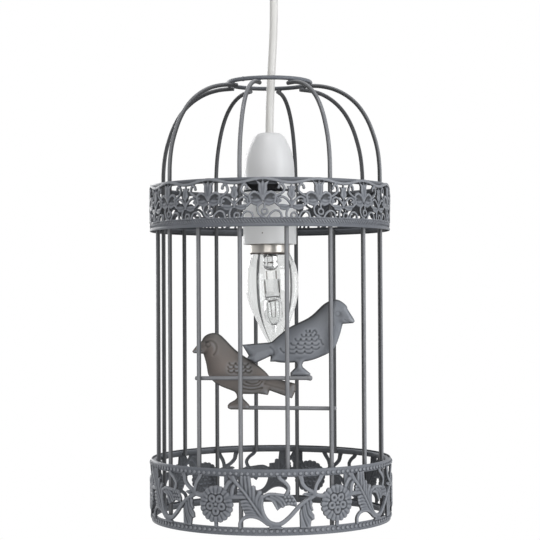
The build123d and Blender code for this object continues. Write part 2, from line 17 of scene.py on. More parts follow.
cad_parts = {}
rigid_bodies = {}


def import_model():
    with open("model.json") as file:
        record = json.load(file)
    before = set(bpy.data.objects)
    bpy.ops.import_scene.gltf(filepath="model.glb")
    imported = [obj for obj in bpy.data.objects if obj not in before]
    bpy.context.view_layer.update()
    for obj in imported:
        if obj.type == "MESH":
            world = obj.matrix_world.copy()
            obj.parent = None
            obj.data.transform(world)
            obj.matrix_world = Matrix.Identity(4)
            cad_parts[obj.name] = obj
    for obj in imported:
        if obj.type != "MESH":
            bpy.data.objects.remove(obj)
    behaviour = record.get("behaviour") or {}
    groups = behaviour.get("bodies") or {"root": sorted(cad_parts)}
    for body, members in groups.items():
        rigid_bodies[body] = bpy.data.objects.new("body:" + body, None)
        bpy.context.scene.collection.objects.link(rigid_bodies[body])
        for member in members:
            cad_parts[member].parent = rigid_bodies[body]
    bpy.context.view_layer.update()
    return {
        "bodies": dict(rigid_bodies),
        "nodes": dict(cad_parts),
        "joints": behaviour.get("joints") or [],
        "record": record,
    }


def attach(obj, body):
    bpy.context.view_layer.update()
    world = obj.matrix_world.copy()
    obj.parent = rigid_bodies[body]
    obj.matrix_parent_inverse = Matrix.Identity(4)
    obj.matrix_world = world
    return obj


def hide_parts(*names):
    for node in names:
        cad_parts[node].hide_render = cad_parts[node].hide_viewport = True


LOG = logging.getLogger("birdcage")

# Metres in a millimetre, the ceiling's height above the cage's foot in mm, the only body, and
# the attribute that carries painted shade in hollows and a painted highlight on ridges
MM = 0.001
CEILING = 438.0
BODY = "root"
RECESS = "recess"

# Distances in a drawing, in mm: further than any metal, and what keeps a span from dividing by zero
FAR = 1e3
TINY = 1e-12

Piece = bpy.types.Object
Material = bpy.types.Material
Node = bpy.types.Node
Socket = bpy.types.NodeSocket
NodeTree = bpy.types.NodeTree
Point = tuple[float, float]
Dot = tuple[float, float, float]
Colour = tuple[float, float, float]
Place = Callable[[float, float, float], Dot]

WHITE: Colour = (1.0, 1.0, 1.0)


class Slot(Enum):
    """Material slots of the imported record."""

    CAGE = "cage_paint"
    HOLDER = "holder_plastic"
    FLEX = "flex_sheath"
    ROSE = "rose_plastic"
    LAMP_METAL = "lamp_metal"
    LAMP_GLASS = "lamp_glass"
    CAPSULE = "capsule_glass"
    LEAD = "lead_wire"


def level(height: float) -> float:
    """Turns a height above the cage's bottom edge in mm into the row's z in metres."""
    return (height - CEILING) * MM


def around(radius: float, angle: float, height: float) -> Dot:
    """Point at a radius, an angle from the front and a height, in metres."""
    a = math.radians(angle)
    return (radius * math.sin(a) * MM, -radius * math.cos(a) * MM, level(height))


def turns(count: int) -> list[float]:
    """Even angles round a circle, in radians."""
    return [2 * math.pi * k / count for k in range(count)]


# Meshes


def add_object(name: str, data: bpy.types.ID) -> Piece:
    """Puts new data into the scene at the origin."""
    piece = bpy.data.objects.new(name, data)
    bpy.context.scene.collection.objects.link(piece)
    return piece


def new_object(name: str, points: Sequence[Dot], faces: Sequence[Sequence[int]]) -> Piece:
    """Makes a mesh object at the origin.

    Args:
        name: Name of the piece.
        points: Vertices in metres.
        faces: Vertex numbers of each face.

    Returns:
        The new object, linked to the scene.
    """
    mesh = bpy.data.meshes.new(name)
    mesh.from_pydata([tuple(p) for p in points], [], faces)
    mesh.update()
    return add_object(name, mesh)


def set_recess(piece: Piece, depths: Sequence[float]) -> None:
    """Writes each point's painted shade, below zero for a painted highlight on ridges."""
    layer = piece.data.attributes.new(RECESS, "FLOAT", "POINT")
    layer.data.foreach_set("value", np.asarray(depths, np.float32))


def weld_points(piece: Piece) -> None:
    """Merges points that share a place."""
    mesh = bmesh.new()
    mesh.from_mesh(piece.data)
    bmesh.ops.remove_doubles(mesh, verts=mesh.verts, dist=1e-7)
    bmesh.ops.recalc_face_normals(mesh, faces=mesh.faces)
    mesh.to_mesh(piece.data)
    mesh.free()


def copy_solid(solid: Piece, name: str) -> Piece:
    """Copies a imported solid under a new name, with its shared points merged."""
    piece = add_object(name, solid.data.copy())
    weld_points(piece)
    return piece


def curve_piece(name: str, path: Sequence[Dot], kind: str = "POLY") -> Piece:
    """Makes a curve object at the origin.

    Args:
        name: Name of the piece.
        path: Its points in metres.
        kind: Blender's name for the spline.

    Returns:
        The new object, linked to the scene.
    """
    curve = bpy.data.curves.new(name, "CURVE")
    curve.dimensions = "3D"
    spline = curve.splines.new(kind)
    spline.points.add(len(path) - 1)
    for point, spot in zip(spline.points, path):
        point.co = (*spot, 1.0)
    return add_object(name, curve)


def tube_faces(spans: int, columns: int, first: int = 0) -> list[tuple[int, ...]]:
    """Faces between rings of points.

    Args:
        spans: Number of spans between rings.
        columns: Points in each ring.
        first: Number of the first ring's first point.

    Returns:
        Vertex numbers of each face.
    """
    faces = []
    for low in range(first, first + spans * columns, columns):
        high = low + columns
        for c in range(columns):
            n = (c + 1) % columns
            faces.append((low + c, low + n, high + n, high + c))
    return faces


def end_faces(spans: int, columns: int) -> list[list[int]]:
    """Faces that close the two ends of a tube."""
    last = spans * columns
    return [list(range(columns))[::-1], list(range(last, last + columns))]


def shade(piece: Piece, angle: float) -> None:
    """Shades a piece smooth, with creases sharper than an angle in degrees."""
    piece.data.shade_smooth()
    piece.data.set_sharp_from_angle(angle=math.radians(angle))


def dress(piece: Piece, material: Material, slot: Slot, *nodes: str, crease: float = 0.0) -> None:
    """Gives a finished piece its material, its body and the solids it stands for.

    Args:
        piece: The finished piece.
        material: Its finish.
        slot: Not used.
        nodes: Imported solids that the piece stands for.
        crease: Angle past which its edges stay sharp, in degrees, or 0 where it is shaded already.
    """
    if crease:
        shade(piece, crease)
    piece.data.materials.clear()
    piece.data.materials.append(material)
    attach(piece, BODY)
    if nodes:
        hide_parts(*nodes)
    LOG.info("%s: %d vertices", piece.name, len(getattr(piece.data, "vertices", [])))


def through(points: Sequence[Sequence[float]], steps: int = 6) -> np.ndarray:
    """Smooth run of points through the given ones.

    Args:
        points: Points with any number of values each.
        steps: New points for each span.

    Returns:
        The run as an array.
    """
    row = np.asarray(points, float)
    if len(row) < 3:
        return row.copy()
    grown = np.vstack([2 * row[0] - row[1], row, 2 * row[-1] - row[-2]])
    run = []
    for k in range(1, len(grown) - 2):
        a, b, c, d = grown[k - 1 : k + 3]
        for t in np.linspace(0, 1, steps, endpoint=False):
            bend = (2 * a - 5 * b + 4 * c - d) * t**2 + (3 * b - a - 3 * c + d) * t**3
            run.append(0.5 * (2 * b + (c - a) * t + bend))
    run.append(row[-1])
    return np.array(run)


def softened(corners: Sequence[Point], radius: float, steps: int = 4) -> list[Point]:
    """Rounds the corners of a turned outline.

    Args:
        corners: Radius and height pairs in mm, first and last kept.
        radius: How far each rounding reaches along its edges.
        steps: Points on each rounding.

    Returns:
        The rounded outline.
    """
    line = [corners[0]]
    for before, corner, after in zip(corners, corners[1:], corners[2:]):
        here = np.array(corner)
        back = np.array(before) - here
        ahead = np.array(after) - here
        start = here + back * min(0.45, radius / max(np.linalg.norm(back), 1e-9))
        end = here + ahead * min(0.45, radius / max(np.linalg.norm(ahead), 1e-9))
        for t in np.linspace(0, 1, steps + 1):
            spot = (1 - t) ** 2 * start + 2 * t * (1 - t) * here + t**2 * end
            line.append((float(spot[0]), float(spot[1])))
    line.append(corners[-1])
    return line


def lathe(name: str, outline: Sequence[Point], segments: int = 96, closed: bool = False) -> Piece:
    """Turns an outline about the cage's axis.

    Args:
        name: Name of the piece.
        outline: Radius and height pairs in mm, anticlockwise with the axis on the left.
        segments: Steps around the axis.
        closed: Whether the outline's end joins its start.

    Returns:
        The turned piece.
    """
    points: list[Dot] = []
    rings: list[list[int]] = []
    for radius, height in outline:
        first = len(points)
        if radius < 1e-6:
            points.append((0.0, 0.0, level(height)))
            rings.append([first] * segments)
            continue
        for a in turns(segments):
            points.append((radius * math.cos(a) * MM, radius * math.sin(a) * MM, level(height)))
        rings.append(list(range(first, first + segments)))
    faces = []
    pairs = list(zip(rings, rings[1:]))
    if closed:
        pairs.append((rings[-1], rings[0]))
    for low, high in pairs:
        for k in range(segments):
            n = (k + 1) % segments
            ring = (low[k], low[n], high[n], high[k])
            face = [v for i, v in enumerate(ring) if v not in ring[:i]]
            if len(face) > 2:
                faces.append(face)
    return new_object(name, points, faces)


# Pressed sheet: a flat drawing with an outline and a height, in mm


def dome(share: np.ndarray) -> np.ndarray:
    """Round section of a stroke, from 0 at its edge to 1 at its middle."""
    inward = np.clip(share, 0, 1)
    return np.sqrt(1 - (1 - inward) ** 2)


def neighbours(grid: np.ndarray) -> np.ndarray:
    """Sum of each grid value's four neighbours, with the border repeated outwards."""
    grown = np.pad(grid, 1, mode="edge")
    return grown[:-2, 1:-1] + grown[2:, 1:-1] + grown[1:-1, :-2] + grown[1:-1, 2:]


@dataclass
class Relief:
    """Flat drawing of pressed metal on a grid."""

    left: float
    right: float
    low: float
    high: float
    pitch: float
    shift: float = 0.0
    stretch: float = 1.0
    base: float = 0.0
    thinnest: float = 0.05
    rim_rise: float = 0.35
    u: np.ndarray = field(init=False)
    v: np.ndarray = field(init=False)
    edge: np.ndarray = field(init=False)
    height: np.ndarray = field(init=False)
    # Painted shade drawn onto the sheet, added to that of its hollows
    painted_shade: np.ndarray = field(init=False)

    def __post_init__(self) -> None:
        """Lays out the grid with no metal on it."""
        across = max(2, round((self.right - self.left) / self.pitch)) + 1
        upward = max(2, round((self.high - self.low) / self.pitch)) + 1
        us = np.linspace(self.left, self.right, across)
        vs = np.linspace(self.low, self.high, upward)
        self.u, self.v = np.meshgrid(us, vs)
        self.edge = np.full(self.u.shape, FAR)
        self.height = np.zeros(self.u.shape)
        self.painted_shade = np.zeros(self.u.shape)

    def press(self, edge: np.ndarray, height: np.ndarray) -> None:
        """Adds metal where edge is below zero, with its own height."""
        self.edge = np.minimum(self.edge, edge)
        self.height = np.maximum(self.height, np.where(edge < 0, height, 0.0))

    def drawn(self, points: Sequence[Sequence[float]]) -> np.ndarray:
        """Smooth line through points, stretched with the drawing."""
        line = through(points)
        line[:, 0] *= self.stretch
        return line

    def nearest(self, start: np.ndarray, end: np.ndarray) -> tuple[np.ndarray, np.ndarray]:
        """Measures the grid against a straight span.

        Args:
            start: Start of the span.
            end: End of the span.

        Returns:
            How far along the span each grid point lies, from 0 to 1, and how far away.
        """
        u, v = self.u - self.shift - start[0], self.v - start[1]
        run = end[:2] - start[:2]
        t = np.clip((u * run[0] + v * run[1]) / (run @ run + TINY), 0, 1)
        return t, np.hypot(u - t * run[0], v - t * run[1])

    def stroke(self, points: Sequence[Dot], rise: float, floor: float = 0.0) -> None:
        """Presses a rounded stroke.

        Args:
            points: Place and width at each point.
            rise: Height of its middle.
            floor: Height of its edges.
        """
        line = self.drawn(points)
        edge = np.full(self.u.shape, FAR)
        half = np.ones(self.u.shape)
        for a, b in zip(line, line[1:]):
            t, away = self.nearest(a, b)
            wide = np.maximum(a[2] + t * (b[2] - a[2]), self.thinnest) / 2
            closer = away - wide < edge
            edge = np.where(closer, away - wide, edge)
            half = np.where(closer, wide, half)
        self.press(edge, floor + (rise - floor) * dome(-edge / half))

    def ring(self, middle: Point, radius: float, width: float, rise: float) -> None:
        """Presses a ring.

        Args:
            middle: Its middle.
            radius: Radius of its middle line.
            width: Width of its stroke.
            rise: Height of its stroke.
        """
        reach = np.hypot(self.u - self.shift - middle[0], self.v - middle[1])
        edge = np.abs(reach - radius) - width / 2
        self.press(edge, rise * dome(-edge / (width / 2)))

    def strip(self, points: Sequence[Point], width: float, rise: float, side: int = 1) -> None:
        """Presses a stroke of even width, mirrored where side is -1."""
        self.stroke([(side * u, v, width) for u, v in points], rise, 0.15)

    def bead(self, middle: Point, radius: float, rise: float, floor: float = 0.0) -> None:
        """Presses a round bead on a floor height."""
        edge = np.hypot(self.u - self.shift - self.stretch * middle[0], self.v - middle[1]) - radius
        self.press(edge, floor + rise * dome(-edge / radius))

    def area(self, corners: Sequence[Point], rise: float, rounding: float) -> np.ndarray:
        """Presses a pillow inside a closed outline.

        Args:
            corners: Points round the outline.
            rise: Height away from its edge.
            rounding: How far from the edge the height levels out.

        Returns:
            Signed distance to the outline, below zero inside.
        """
        ring = np.asarray(corners, float) * (self.stretch, 1.0)
        edge = np.full(self.u.shape, FAR)
        inside = np.zeros(self.u.shape, bool)
        for a, b in zip(ring, np.roll(ring, -1, axis=0)):
            edge = np.minimum(edge, self.nearest(a, b)[1])
            run = b - a
            if abs(run[1]) > 1e-9:
                meets = a[0] + (self.v - a[1]) / run[1] * run[0]
                inside ^= ((a[1] > self.v) != (b[1] > self.v)) & (self.u - self.shift < meets)
        edge = np.where(inside, -edge, edge)
        self.press(edge, rise * dome(-edge / rounding))
        return edge

    def bowl(self, corners: Sequence[Point], depth: float, rounding: float) -> None:
        """Sinks the inside of a closed outline, with a painted shadow under its upper edge.

        Args:
            corners: Points round the outline.
            depth: How far it sinks below the sheet's face.
            rounding: How far from the edge it levels out.
        """
        edge = self.area(corners, 0.0, rounding)
        self.height -= np.where(edge < 0, depth * dome(-edge / rounding), 0.0)
        # Painted shadow, darkest under the upper edge
        heights = [v for _, v in corners]
        share = (self.v - min(heights)) / (max(heights) - min(heights))
        self.painted_shade += np.where(edge < 0, np.clip(1.5 * share - 0.2, 0, 1), 0.0)

    def groove(self, points: Sequence[Point], width: float, depth: float) -> None:
        """Sinks a line into the metal that is there.

        Args:
            points: Points along it.
            width: Its width.
            depth: How far its middle sinks.
        """
        line = self.drawn(points)
        near = np.full(self.u.shape, FAR)
        for a, b in zip(line, line[1:]):
            near = np.minimum(near, self.nearest(a, b)[1])
        self.height -= depth * np.exp(-((near / (0.5 * width)) ** 2))

    def soften(self, rounds: int) -> None:
        """Evens out the height between neighbouring points."""
        for _ in range(rounds):
            self.height = 0.5 * self.height + 0.125 * neighbours(self.height)

    def hollows(self) -> np.ndarray:
        """Painted shade of each grid point, from its depth below its surroundings and the drawn painted
        shade, below zero for a painted highlight on ridges.
        """
        blur = self.height
        for _ in range(9):
            blur = 0.2 * blur + 0.2 * neighbours(blur)
        return np.clip((blur - self.height) * 4.0 + self.painted_shade, -1, 1)

    def sheet(self, name: str, wall: float, follow: float, place: Place) -> Piece:
        """Cuts the drawing out and gives it a front, a back and walls.

        Args:
            name: Name of the piece.
            wall: Thickness in mm.
            follow: Share of the front's height that the back follows.
            place: Turns along, up and out in mm into a point in metres.

        Returns:
            The sheet, with painted shade marked in its hollows and a painted highlight on its ridges.
        """
        rows, columns = self.u.shape
        metal = self.edge < 0
        spots: dict[tuple[int, ...], int] = {}
        flat: list[Dot] = []

        def node(r: int, c: int) -> int:
            """Number of the point that lies on a grid point."""
            key = (r, c)
            if key not in spots:
                spots[key] = len(flat)
                flat.append((self.u[r, c], self.v[r, c], self.height[r, c]))
            return spots[key]

        def crossing(r: int, c: int, s: int, d: int) -> int:
            """Number of the point where the outline passes between two grid points."""
            key = (r, c, s, d) if (r, c) < (s, d) else (s, d, r, c)
            if key not in spots:
                a, b = self.edge[r, c], self.edge[s, d]
                t = min(max(a / (a - b), 0.02), 0.98)
                inner = self.height[r, c] if metal[r, c] else self.height[s, d]
                spots[key] = len(flat)
                u = self.u[r, c] + t * (self.u[s, d] - self.u[r, c])
                v = self.v[r, c] + t * (self.v[s, d] - self.v[r, c])
                flat.append((u, v, self.base + self.rim_rise * (inner - self.base)))
            return spots[key]

        faces: list[list[int]] = []
        rim: list[tuple[int, int]] = []
        for r in range(rows - 1):
            for c in range(columns - 1):
                square = ((r, c), (r, c + 1), (r + 1, c + 1), (r + 1, c))
                held = [metal[s] for s in square]
                if not any(held):
                    continue
                face: list[int] = []
                leaving = arriving = None
                for k in range(4):
                    n = (k + 1) % 4
                    if held[k]:
                        face.append(node(*square[k]))
                    if held[k] != held[n]:
                        spot = crossing(*square[k], *square[n])
                        face.append(spot)
                        if held[k]:
                            leaving = spot
                        elif leaving is not None:
                            rim.append((leaving, spot))
                            leaving = None
                        else:
                            arriving = spot
                if leaving is not None and arriving is not None:
                    rim.append((leaving, arriving))
                faces.append(face)
        count = len(flat)
        points = [place(u, v, h) for u, v, h in flat]
        points += [place(u, v, follow * h - wall) for u, v, h in flat]
        whole = faces + [[count + v for v in reversed(face)] for face in faces]
        whole += [[a, count + a, count + b, b] for a, b in rim]
        piece = new_object(name, points, whole)
        hollows = self.hollows()
        depths = np.zeros(2 * count)
        for key, index in spots.items():
            depths[index] = hollows[key[0], key[1]]
        set_recess(piece, depths)
        return piece


def flat_place(u: float, v: float, out: float) -> Dot:
    """Keeps a sheet flat, to be wrapped later."""
    return (u * MM, out * MM, v * MM)


# Node trees


class NodeBuilder:
    """Node tree under construction."""

    clamped = False

    def __init__(self, tree: NodeTree) -> None:
        """Works on an empty node tree."""
        self.tree = tree
        tree.nodes.clear()

    def set(self, node: Node, name: str | int, value: object) -> None:
        """Fills one input of a node.

        Args:
            node: The node.
            name: Name or number of its input.
            value: A socket to link, or a value to write.
        """
        socket = node.inputs[name]
        if isinstance(value, Socket):
            self.tree.links.new(value, socket)
        elif isinstance(value, tuple) and len(value) == 3 and socket.type == "RGBA":
            socket.default_value = (*value, 1.0)
        else:
            socket.default_value = value

    def add(self, kind: str, **inputs: object) -> Node:
        """Adds a node and fills its inputs.

        Args:
            kind: Blender's name for the node.
            inputs: Sockets or values, by input name with underscores for spaces.

        Returns:
            The new node.
        """
        node = self.tree.nodes.new(kind)
        for name, value in inputs.items():
            self.set(node, name.replace("_", " "), value)
        return node

    def sum(self, operation: str, first: object, second: object = 0.0) -> Socket:
        """Works out one step of arithmetic.

        Args:
            operation: Blender's name for it.
            first: Socket or value.
            second: Socket or value.

        Returns:
            The result.
        """
        node = self.tree.nodes.new("ShaderNodeMath")
        node.operation = operation
        node.use_clamp = self.clamped
        self.set(node, 0, first)
        self.set(node, 1, second)
        return node.outputs[0]


class Tree(NodeBuilder):
    """Geometry node tree with named inputs."""

    def __init__(self, name: str) -> None:
        """Makes an empty tree with a geometry input and output."""
        super().__init__(bpy.data.node_groups.new(name, "GeometryNodeTree"))
        face = self.tree.interface
        face.new_socket("Geometry", in_out="INPUT", socket_type="NodeSocketGeometry")
        face.new_socket("Geometry", in_out="OUTPUT", socket_type="NodeSocketGeometry")
        self.start = self.tree.nodes.new("NodeGroupInput")
        self.end = self.tree.nodes.new("NodeGroupOutput")

    def size(self, name: str, kind: str = "NodeSocketFloat") -> Socket:
        """Adds a named input and gives its socket."""
        self.tree.interface.new_socket(name, in_out="INPUT", socket_type=kind)
        return self.start.outputs[name]

    def ring(self, unit: Socket) -> None:
        """Repeats a unit round the cage's axis, with its number and angles as inputs, and ends the tree.

        Args:
            unit: Geometry of the unit.
        """
        count = self.size("Count", "NodeSocketInt")
        first = self.size("First Angle")
        step = self.size("Step Angle")
        material = self.size("Material", "NodeSocketMaterial")
        line = self.add("GeometryNodeMeshLine", Count=count, Offset=(0.0, 0.0, 0.0)).outputs[0]
        index = self.add("GeometryNodeInputIndex").outputs[0]
        turn = self.sum("ADD", first, self.sum("MULTIPLY", index, step))
        spin = self.add("ShaderNodeCombineXYZ", Z=turn).outputs[0]
        placed = self.add("GeometryNodeInstanceOnPoints", Points=line, Instance=unit, Rotation=spin)
        self.close(placed.outputs[0], material)

    def close(self, geometry: Socket, material: Socket) -> None:
        """Realizes the copies, sets the material and ends the tree.

        Args:
            geometry: What the tree has made.
            material: Its finish.
        """
        real = self.add("GeometryNodeRealizeInstances", Geometry=geometry)
        done = self.add("GeometryNodeSetMaterial", Geometry=real.outputs[0], Material=material)
        self.set(self.end, 0, done.outputs[0])

    def apply(self, piece: Piece, **values: object) -> None:
        """Runs the tree on a piece and keeps the result as a plain mesh.

        Args:
            piece: The piece that the tree starts from.
            values: Inputs by name, with underscores for spaces.
        """
        modifier = piece.modifiers.new("shape", "NODES")
        modifier.node_group = self.tree
        for item in self.tree.interface.items_tree:
            key = item.name.replace(" ", "_")
            if item.in_out == "INPUT" and key in values:
                modifier[item.identifier] = values[key]
        graph = bpy.context.evaluated_depsgraph_get()
        made = bpy.data.meshes.new_from_object(piece.evaluated_get(graph), depsgraph=graph)
        piece.modifiers.remove(modifier)
        if piece.type == "MESH":
            piece.data = made
            return
        name = piece.name
        whole = add_object(name + "_mesh", made)
        bpy.data.objects.remove(piece)
        whole.name = name


def copies_tree() -> Tree:
    """Tree that repeats a piece round the cage's axis."""
    tree = Tree("copies_round_axis")
    unit = tree.add("GeometryNodeGeometryToInstance", Geometry=tree.start.outputs[0])
    tree.ring(unit.outputs[0])
    return tree


def wire_tree() -> Tree:
    """Tree that runs a round wire along a curve and repeats it round the axis."""
    tree = Tree("wires_round_axis")
    radius = tree.size("Wire Radius")
    section = tree.add("GeometryNodeCurvePrimitiveCircle", Resolution=20, Radius=radius).outputs[0]
    path = tree.start.outputs[0]
    wire = tree.add("GeometryNodeCurveToMesh", Curve=path, Profile_Curve=section, Fill_Caps=True)
    tree.ring(wire.outputs[0])
    return tree


def wrap_tree() -> Tree:
    """Tree that repeats a flat unit and wraps the strip round the cage."""
    tree = Tree("wrap_round_cage")
    count = tree.size("Count", "NodeSocketInt")
    pitch = tree.size("Pitch")
    radius = tree.size("Radius")
    first = tree.size("First Angle")
    material = tree.size("Material", "NodeSocketMaterial")
    step = tree.add("ShaderNodeCombineXYZ", X=pitch).outputs[0]
    line = tree.add("GeometryNodeMeshLine", Count=count, Offset=step).outputs[0]
    unit = tree.add("GeometryNodeGeometryToInstance", Geometry=tree.start.outputs[0]).outputs[0]
    placed = tree.add("GeometryNodeInstanceOnPoints", Points=line, Instance=unit).outputs[0]
    real = tree.add("GeometryNodeRealizeInstances", Geometry=placed).outputs[0]
    place = tree.add("GeometryNodeInputPosition").outputs[0]
    spot = tree.add("ShaderNodeSeparateXYZ", Vector=place)
    turn = tree.sum("ADD", first, tree.sum("DIVIDE", spot.outputs[0], radius))
    reach = tree.sum("ADD", radius, spot.outputs[1])
    x = tree.sum("MULTIPLY", reach, tree.sum("SINE", turn))
    y = tree.sum("MULTIPLY", tree.sum("MULTIPLY", reach, tree.sum("COSINE", turn)), -1.0)
    goal = tree.add("ShaderNodeCombineXYZ", X=x, Y=y, Z=spot.outputs[2]).outputs[0]
    bent = tree.add("GeometryNodeSetPosition", Geometry=real, Position=goal).outputs[0]
    welded = tree.add("GeometryNodeMergeByDistance", Geometry=bent, Distance=2e-6)
    tree.close(welded.outputs[0], material)
    return tree


# Finishes


class Shader(NodeBuilder):
    """Node material, world or group, whose arithmetic stays between 0 and 1."""

    clamped = True

    def blend(self, factor: object, first: object, second: object) -> Socket:
        """Mixes two colours.

        Args:
            factor: Share of the second, from 0 to 1.
            first: Socket or colour.
            second: Socket or colour.

        Returns:
            The mixed colour.
        """
        node = self.tree.nodes.new("ShaderNodeMix")
        node.data_type = "RGBA"
        self.set(node, 0, factor)
        self.set(node, 6, first)
        self.set(node, 7, second)
        return node.outputs[2]

    def mix(self, factor: object, first: Node, second: Node) -> Node:
        """Mixes two shaders.

        Args:
            factor: Share of the second, from 0 to 1.
            first: A shader's node.
            second: A shader's node.

        Returns:
            The node that mixes them.
        """
        node = self.tree.nodes.new("ShaderNodeMixShader")
        for place, value in enumerate((factor, first.outputs[0], second.outputs[0])):
            self.set(node, place, value)
        return node

    def span(self, value: object, source: Point = (0.0, 1.0), goal: Point = (0.0, 1.0)) -> Socket:
        """Spreads a value from one range over another and keeps it there.

        Args:
            value: Socket or value.
            source: Range that it comes from.
            goal: Range that it goes to.

        Returns:
            The new value.
        """
        low, high = source
        node = self.add(
            "ShaderNodeMapRange", Value=value, From_Min=low, From_Max=high, To_Min=goal[0], To_Max=goal[1]
        )
        return node.outputs[0]

    def vector(self, operation: str, first: object, second: object = (0.0, 0.0, 0.0)) -> Node:
        """Works out one step of vector arithmetic.

        Args:
            operation: Blender's name for it.
            first: Socket or vector.
            second: Socket or vector.

        Returns:
            Its node.
        """
        node = self.tree.nodes.new("ShaderNodeVectorMath")
        node.operation = operation
        self.set(node, 0, first)
        self.set(node, 1, second)
        return node


def shader_group(name: str, inputs: dict[str, float], outputs: Sequence[str]) -> Shader:
    """Makes an empty shader group.

    Args:
        name: Name of the group.
        inputs: Its float inputs and their usual values.
        outputs: Its float outputs.

    Returns:
        A builder for the group.
    """
    build = Shader(bpy.data.node_groups.new(name, "ShaderNodeTree"))
    for key, value in inputs.items():
        socket = build.tree.interface.new_socket(key, in_out="INPUT", socket_type="NodeSocketFloat")
        socket.default_value = value
    for key in outputs:
        build.tree.interface.new_socket(key, in_out="OUTPUT", socket_type="NodeSocketFloat")
    return build


def grain_group() -> NodeTree:
    """Fine grain and slow drift that every finish uses."""
    build = shader_group("fine_grain", {"Grain Scale": 900.0, "Drift Scale": 30.0}, ("Grain", "Drift"))
    start = build.add("NodeGroupInput").outputs
    spot = build.add("ShaderNodeTexCoord").outputs["Object"]
    grain = build.add("ShaderNodeTexNoise", Vector=spot, Scale=start[0], Detail=3.0, Roughness=0.6)
    drift = build.add("ShaderNodeTexNoise", Vector=spot, Scale=start[1], Detail=2.0, Roughness=0.5)
    build.add("NodeGroupOutput", Grain=grain.outputs[0], Drift=drift.outputs[0])
    return build.tree


def shade_and_highlight_group() -> NodeTree:
    """Painted shade and highlight: painted shade on flanks turned from outwards and upwards, a little less on
    faces turned fully inwards, on undersides and in marked hollows; a painted highlight on marked ridges.
    """
    build = shader_group("paint_cover", {"Inside": 1.0, "Recess": 0.85}, ("Thin", "Ridge"))
    start = build.add("NodeGroupInput").outputs
    spot = build.add("ShaderNodeTexCoord").outputs["Object"]
    normal = build.add("ShaderNodeNewGeometry").outputs["Normal"]
    flat = build.vector("MULTIPLY", spot, (1.0, 1.0, 0.0))
    outward = build.vector("NORMALIZE", flat.outputs[0])
    facing = build.vector("DOT_PRODUCT", outward.outputs[0], normal).outputs["Value"]
    upward = build.add("ShaderNodeSeparateXYZ", Vector=normal).outputs[2]
    # Painted shade on faces turned away from outwards and upwards, less on faces turned inwards, and on
    # undersides
    flank = build.span(build.sum("MAXIMUM", facing, upward), (0.85, 0.05), (0.0, 0.95))
    back = build.span(facing, (-0.35, -1.0), (0.0, 0.3))
    under = build.span(upward, (-0.45, -0.95))
    hidden = build.sum("MAXIMUM", build.sum("SUBTRACT", flank, back), under)
    mark = build.add("ShaderNodeAttribute")
    mark.attribute_name = RECESS
    hollow = mark.outputs["Fac"]
    # Painted shade from the marked hollows, and a painted highlight from the marked ridges
    deep = build.sum("MULTIPLY", build.sum("MAXIMUM", hollow, 0.0), start[1])
    ridge = build.sum("MAXIMUM", build.sum("MULTIPLY", hollow, -1.0), 0.0)
    shade_share = build.sum("ADD", build.sum("MULTIPLY", hidden, start[0]), deep)
    build.add("NodeGroupOutput", Thin=shade_share, Ridge=ridge)
    return build.tree


def start_material(name: str, grain: NodeTree) -> tuple[Material, Shader, Node]:
    """Makes an empty material with the grain group in it.

    Args:
        name: Name of the material.
        grain: Shared group for grain and drift.

    Returns:
        The material, its builder and the grain node.
    """
    material = bpy.data.materials.new(name)
    material.use_nodes = True
    build = Shader(material.node_tree)
    noise = build.add("ShaderNodeGroup")
    noise.node_tree = grain
    return material, build, noise


@dataclass(frozen=True)
class Finish:
    """Plain finish with grain: paint, plastic, rubber or metal, with painted shade and a painted highlight
    where a shaded colour is given.
    """

    name: str
    base: Colour
    tint: Colour
    rough_low: float
    rough_high: float
    metallic: float = 0.0
    grain_scale: float = 900.0
    drift_scale: float = 30.0
    bump: float = 0.1
    bump_depth: float = 0.0004
    coat: float = 0.0
    coat_rough: float = 0.12
    specular: float = 0.4
    # Colour of painted shade, the rise in roughness there, and colour of the painted highlight on ridges
    shaded: Colour | None = None
    shaded_rough: float = 0.35
    ridge_highlight: Colour = (0.237, 0.246, 0.267)

    def material(self, grain: NodeTree, cover: NodeTree) -> Material:
        """Builds the material.

        Args:
            grain: Shared group for grain and drift.
            cover: Shared group for painted shade and highlight.

        Returns:
            The material.
        """
        material, build, noise = start_material(self.name, grain)
        build.set(noise, "Grain Scale", self.grain_scale)
        build.set(noise, "Drift Scale", self.drift_scale)
        colour = build.blend(build.span(noise.outputs["Drift"], (0.3, 0.7)), self.base, self.tint)
        rough = build.span(noise.outputs["Grain"], goal=(self.rough_low, self.rough_high))
        if self.shaded:
            paint = build.add("ShaderNodeGroup")
            paint.node_tree = cover
            # Painted highlight on ridges, then painted shade, from the shared group
            shade_share = paint.outputs["Thin"]
            colour = build.blend(paint.outputs["Ridge"], colour, self.ridge_highlight)
            colour = build.blend(shade_share, colour, self.shaded)
            rough = build.sum("ADD", rough, build.sum("MULTIPLY", shade_share, self.shaded_rough))
        speck = build.span(noise.outputs["Grain"], (0.35, 0.65))
        relief = build.add("ShaderNodeBump", Strength=self.bump, Distance=self.bump_depth, Height=speck)
        skin = build.add(
            "ShaderNodeBsdfPrincipled", Base_Color=colour, Metallic=self.metallic, Roughness=rough,
            Specular_IOR_Level=self.specular, Normal=relief.outputs[0],
        )
        if self.coat:
            build.set(skin, "Coat Weight", self.coat)
            build.set(skin, "Coat Roughness", self.coat_rough)
        build.add("ShaderNodeOutputMaterial", Surface=skin.outputs[0])
        return material


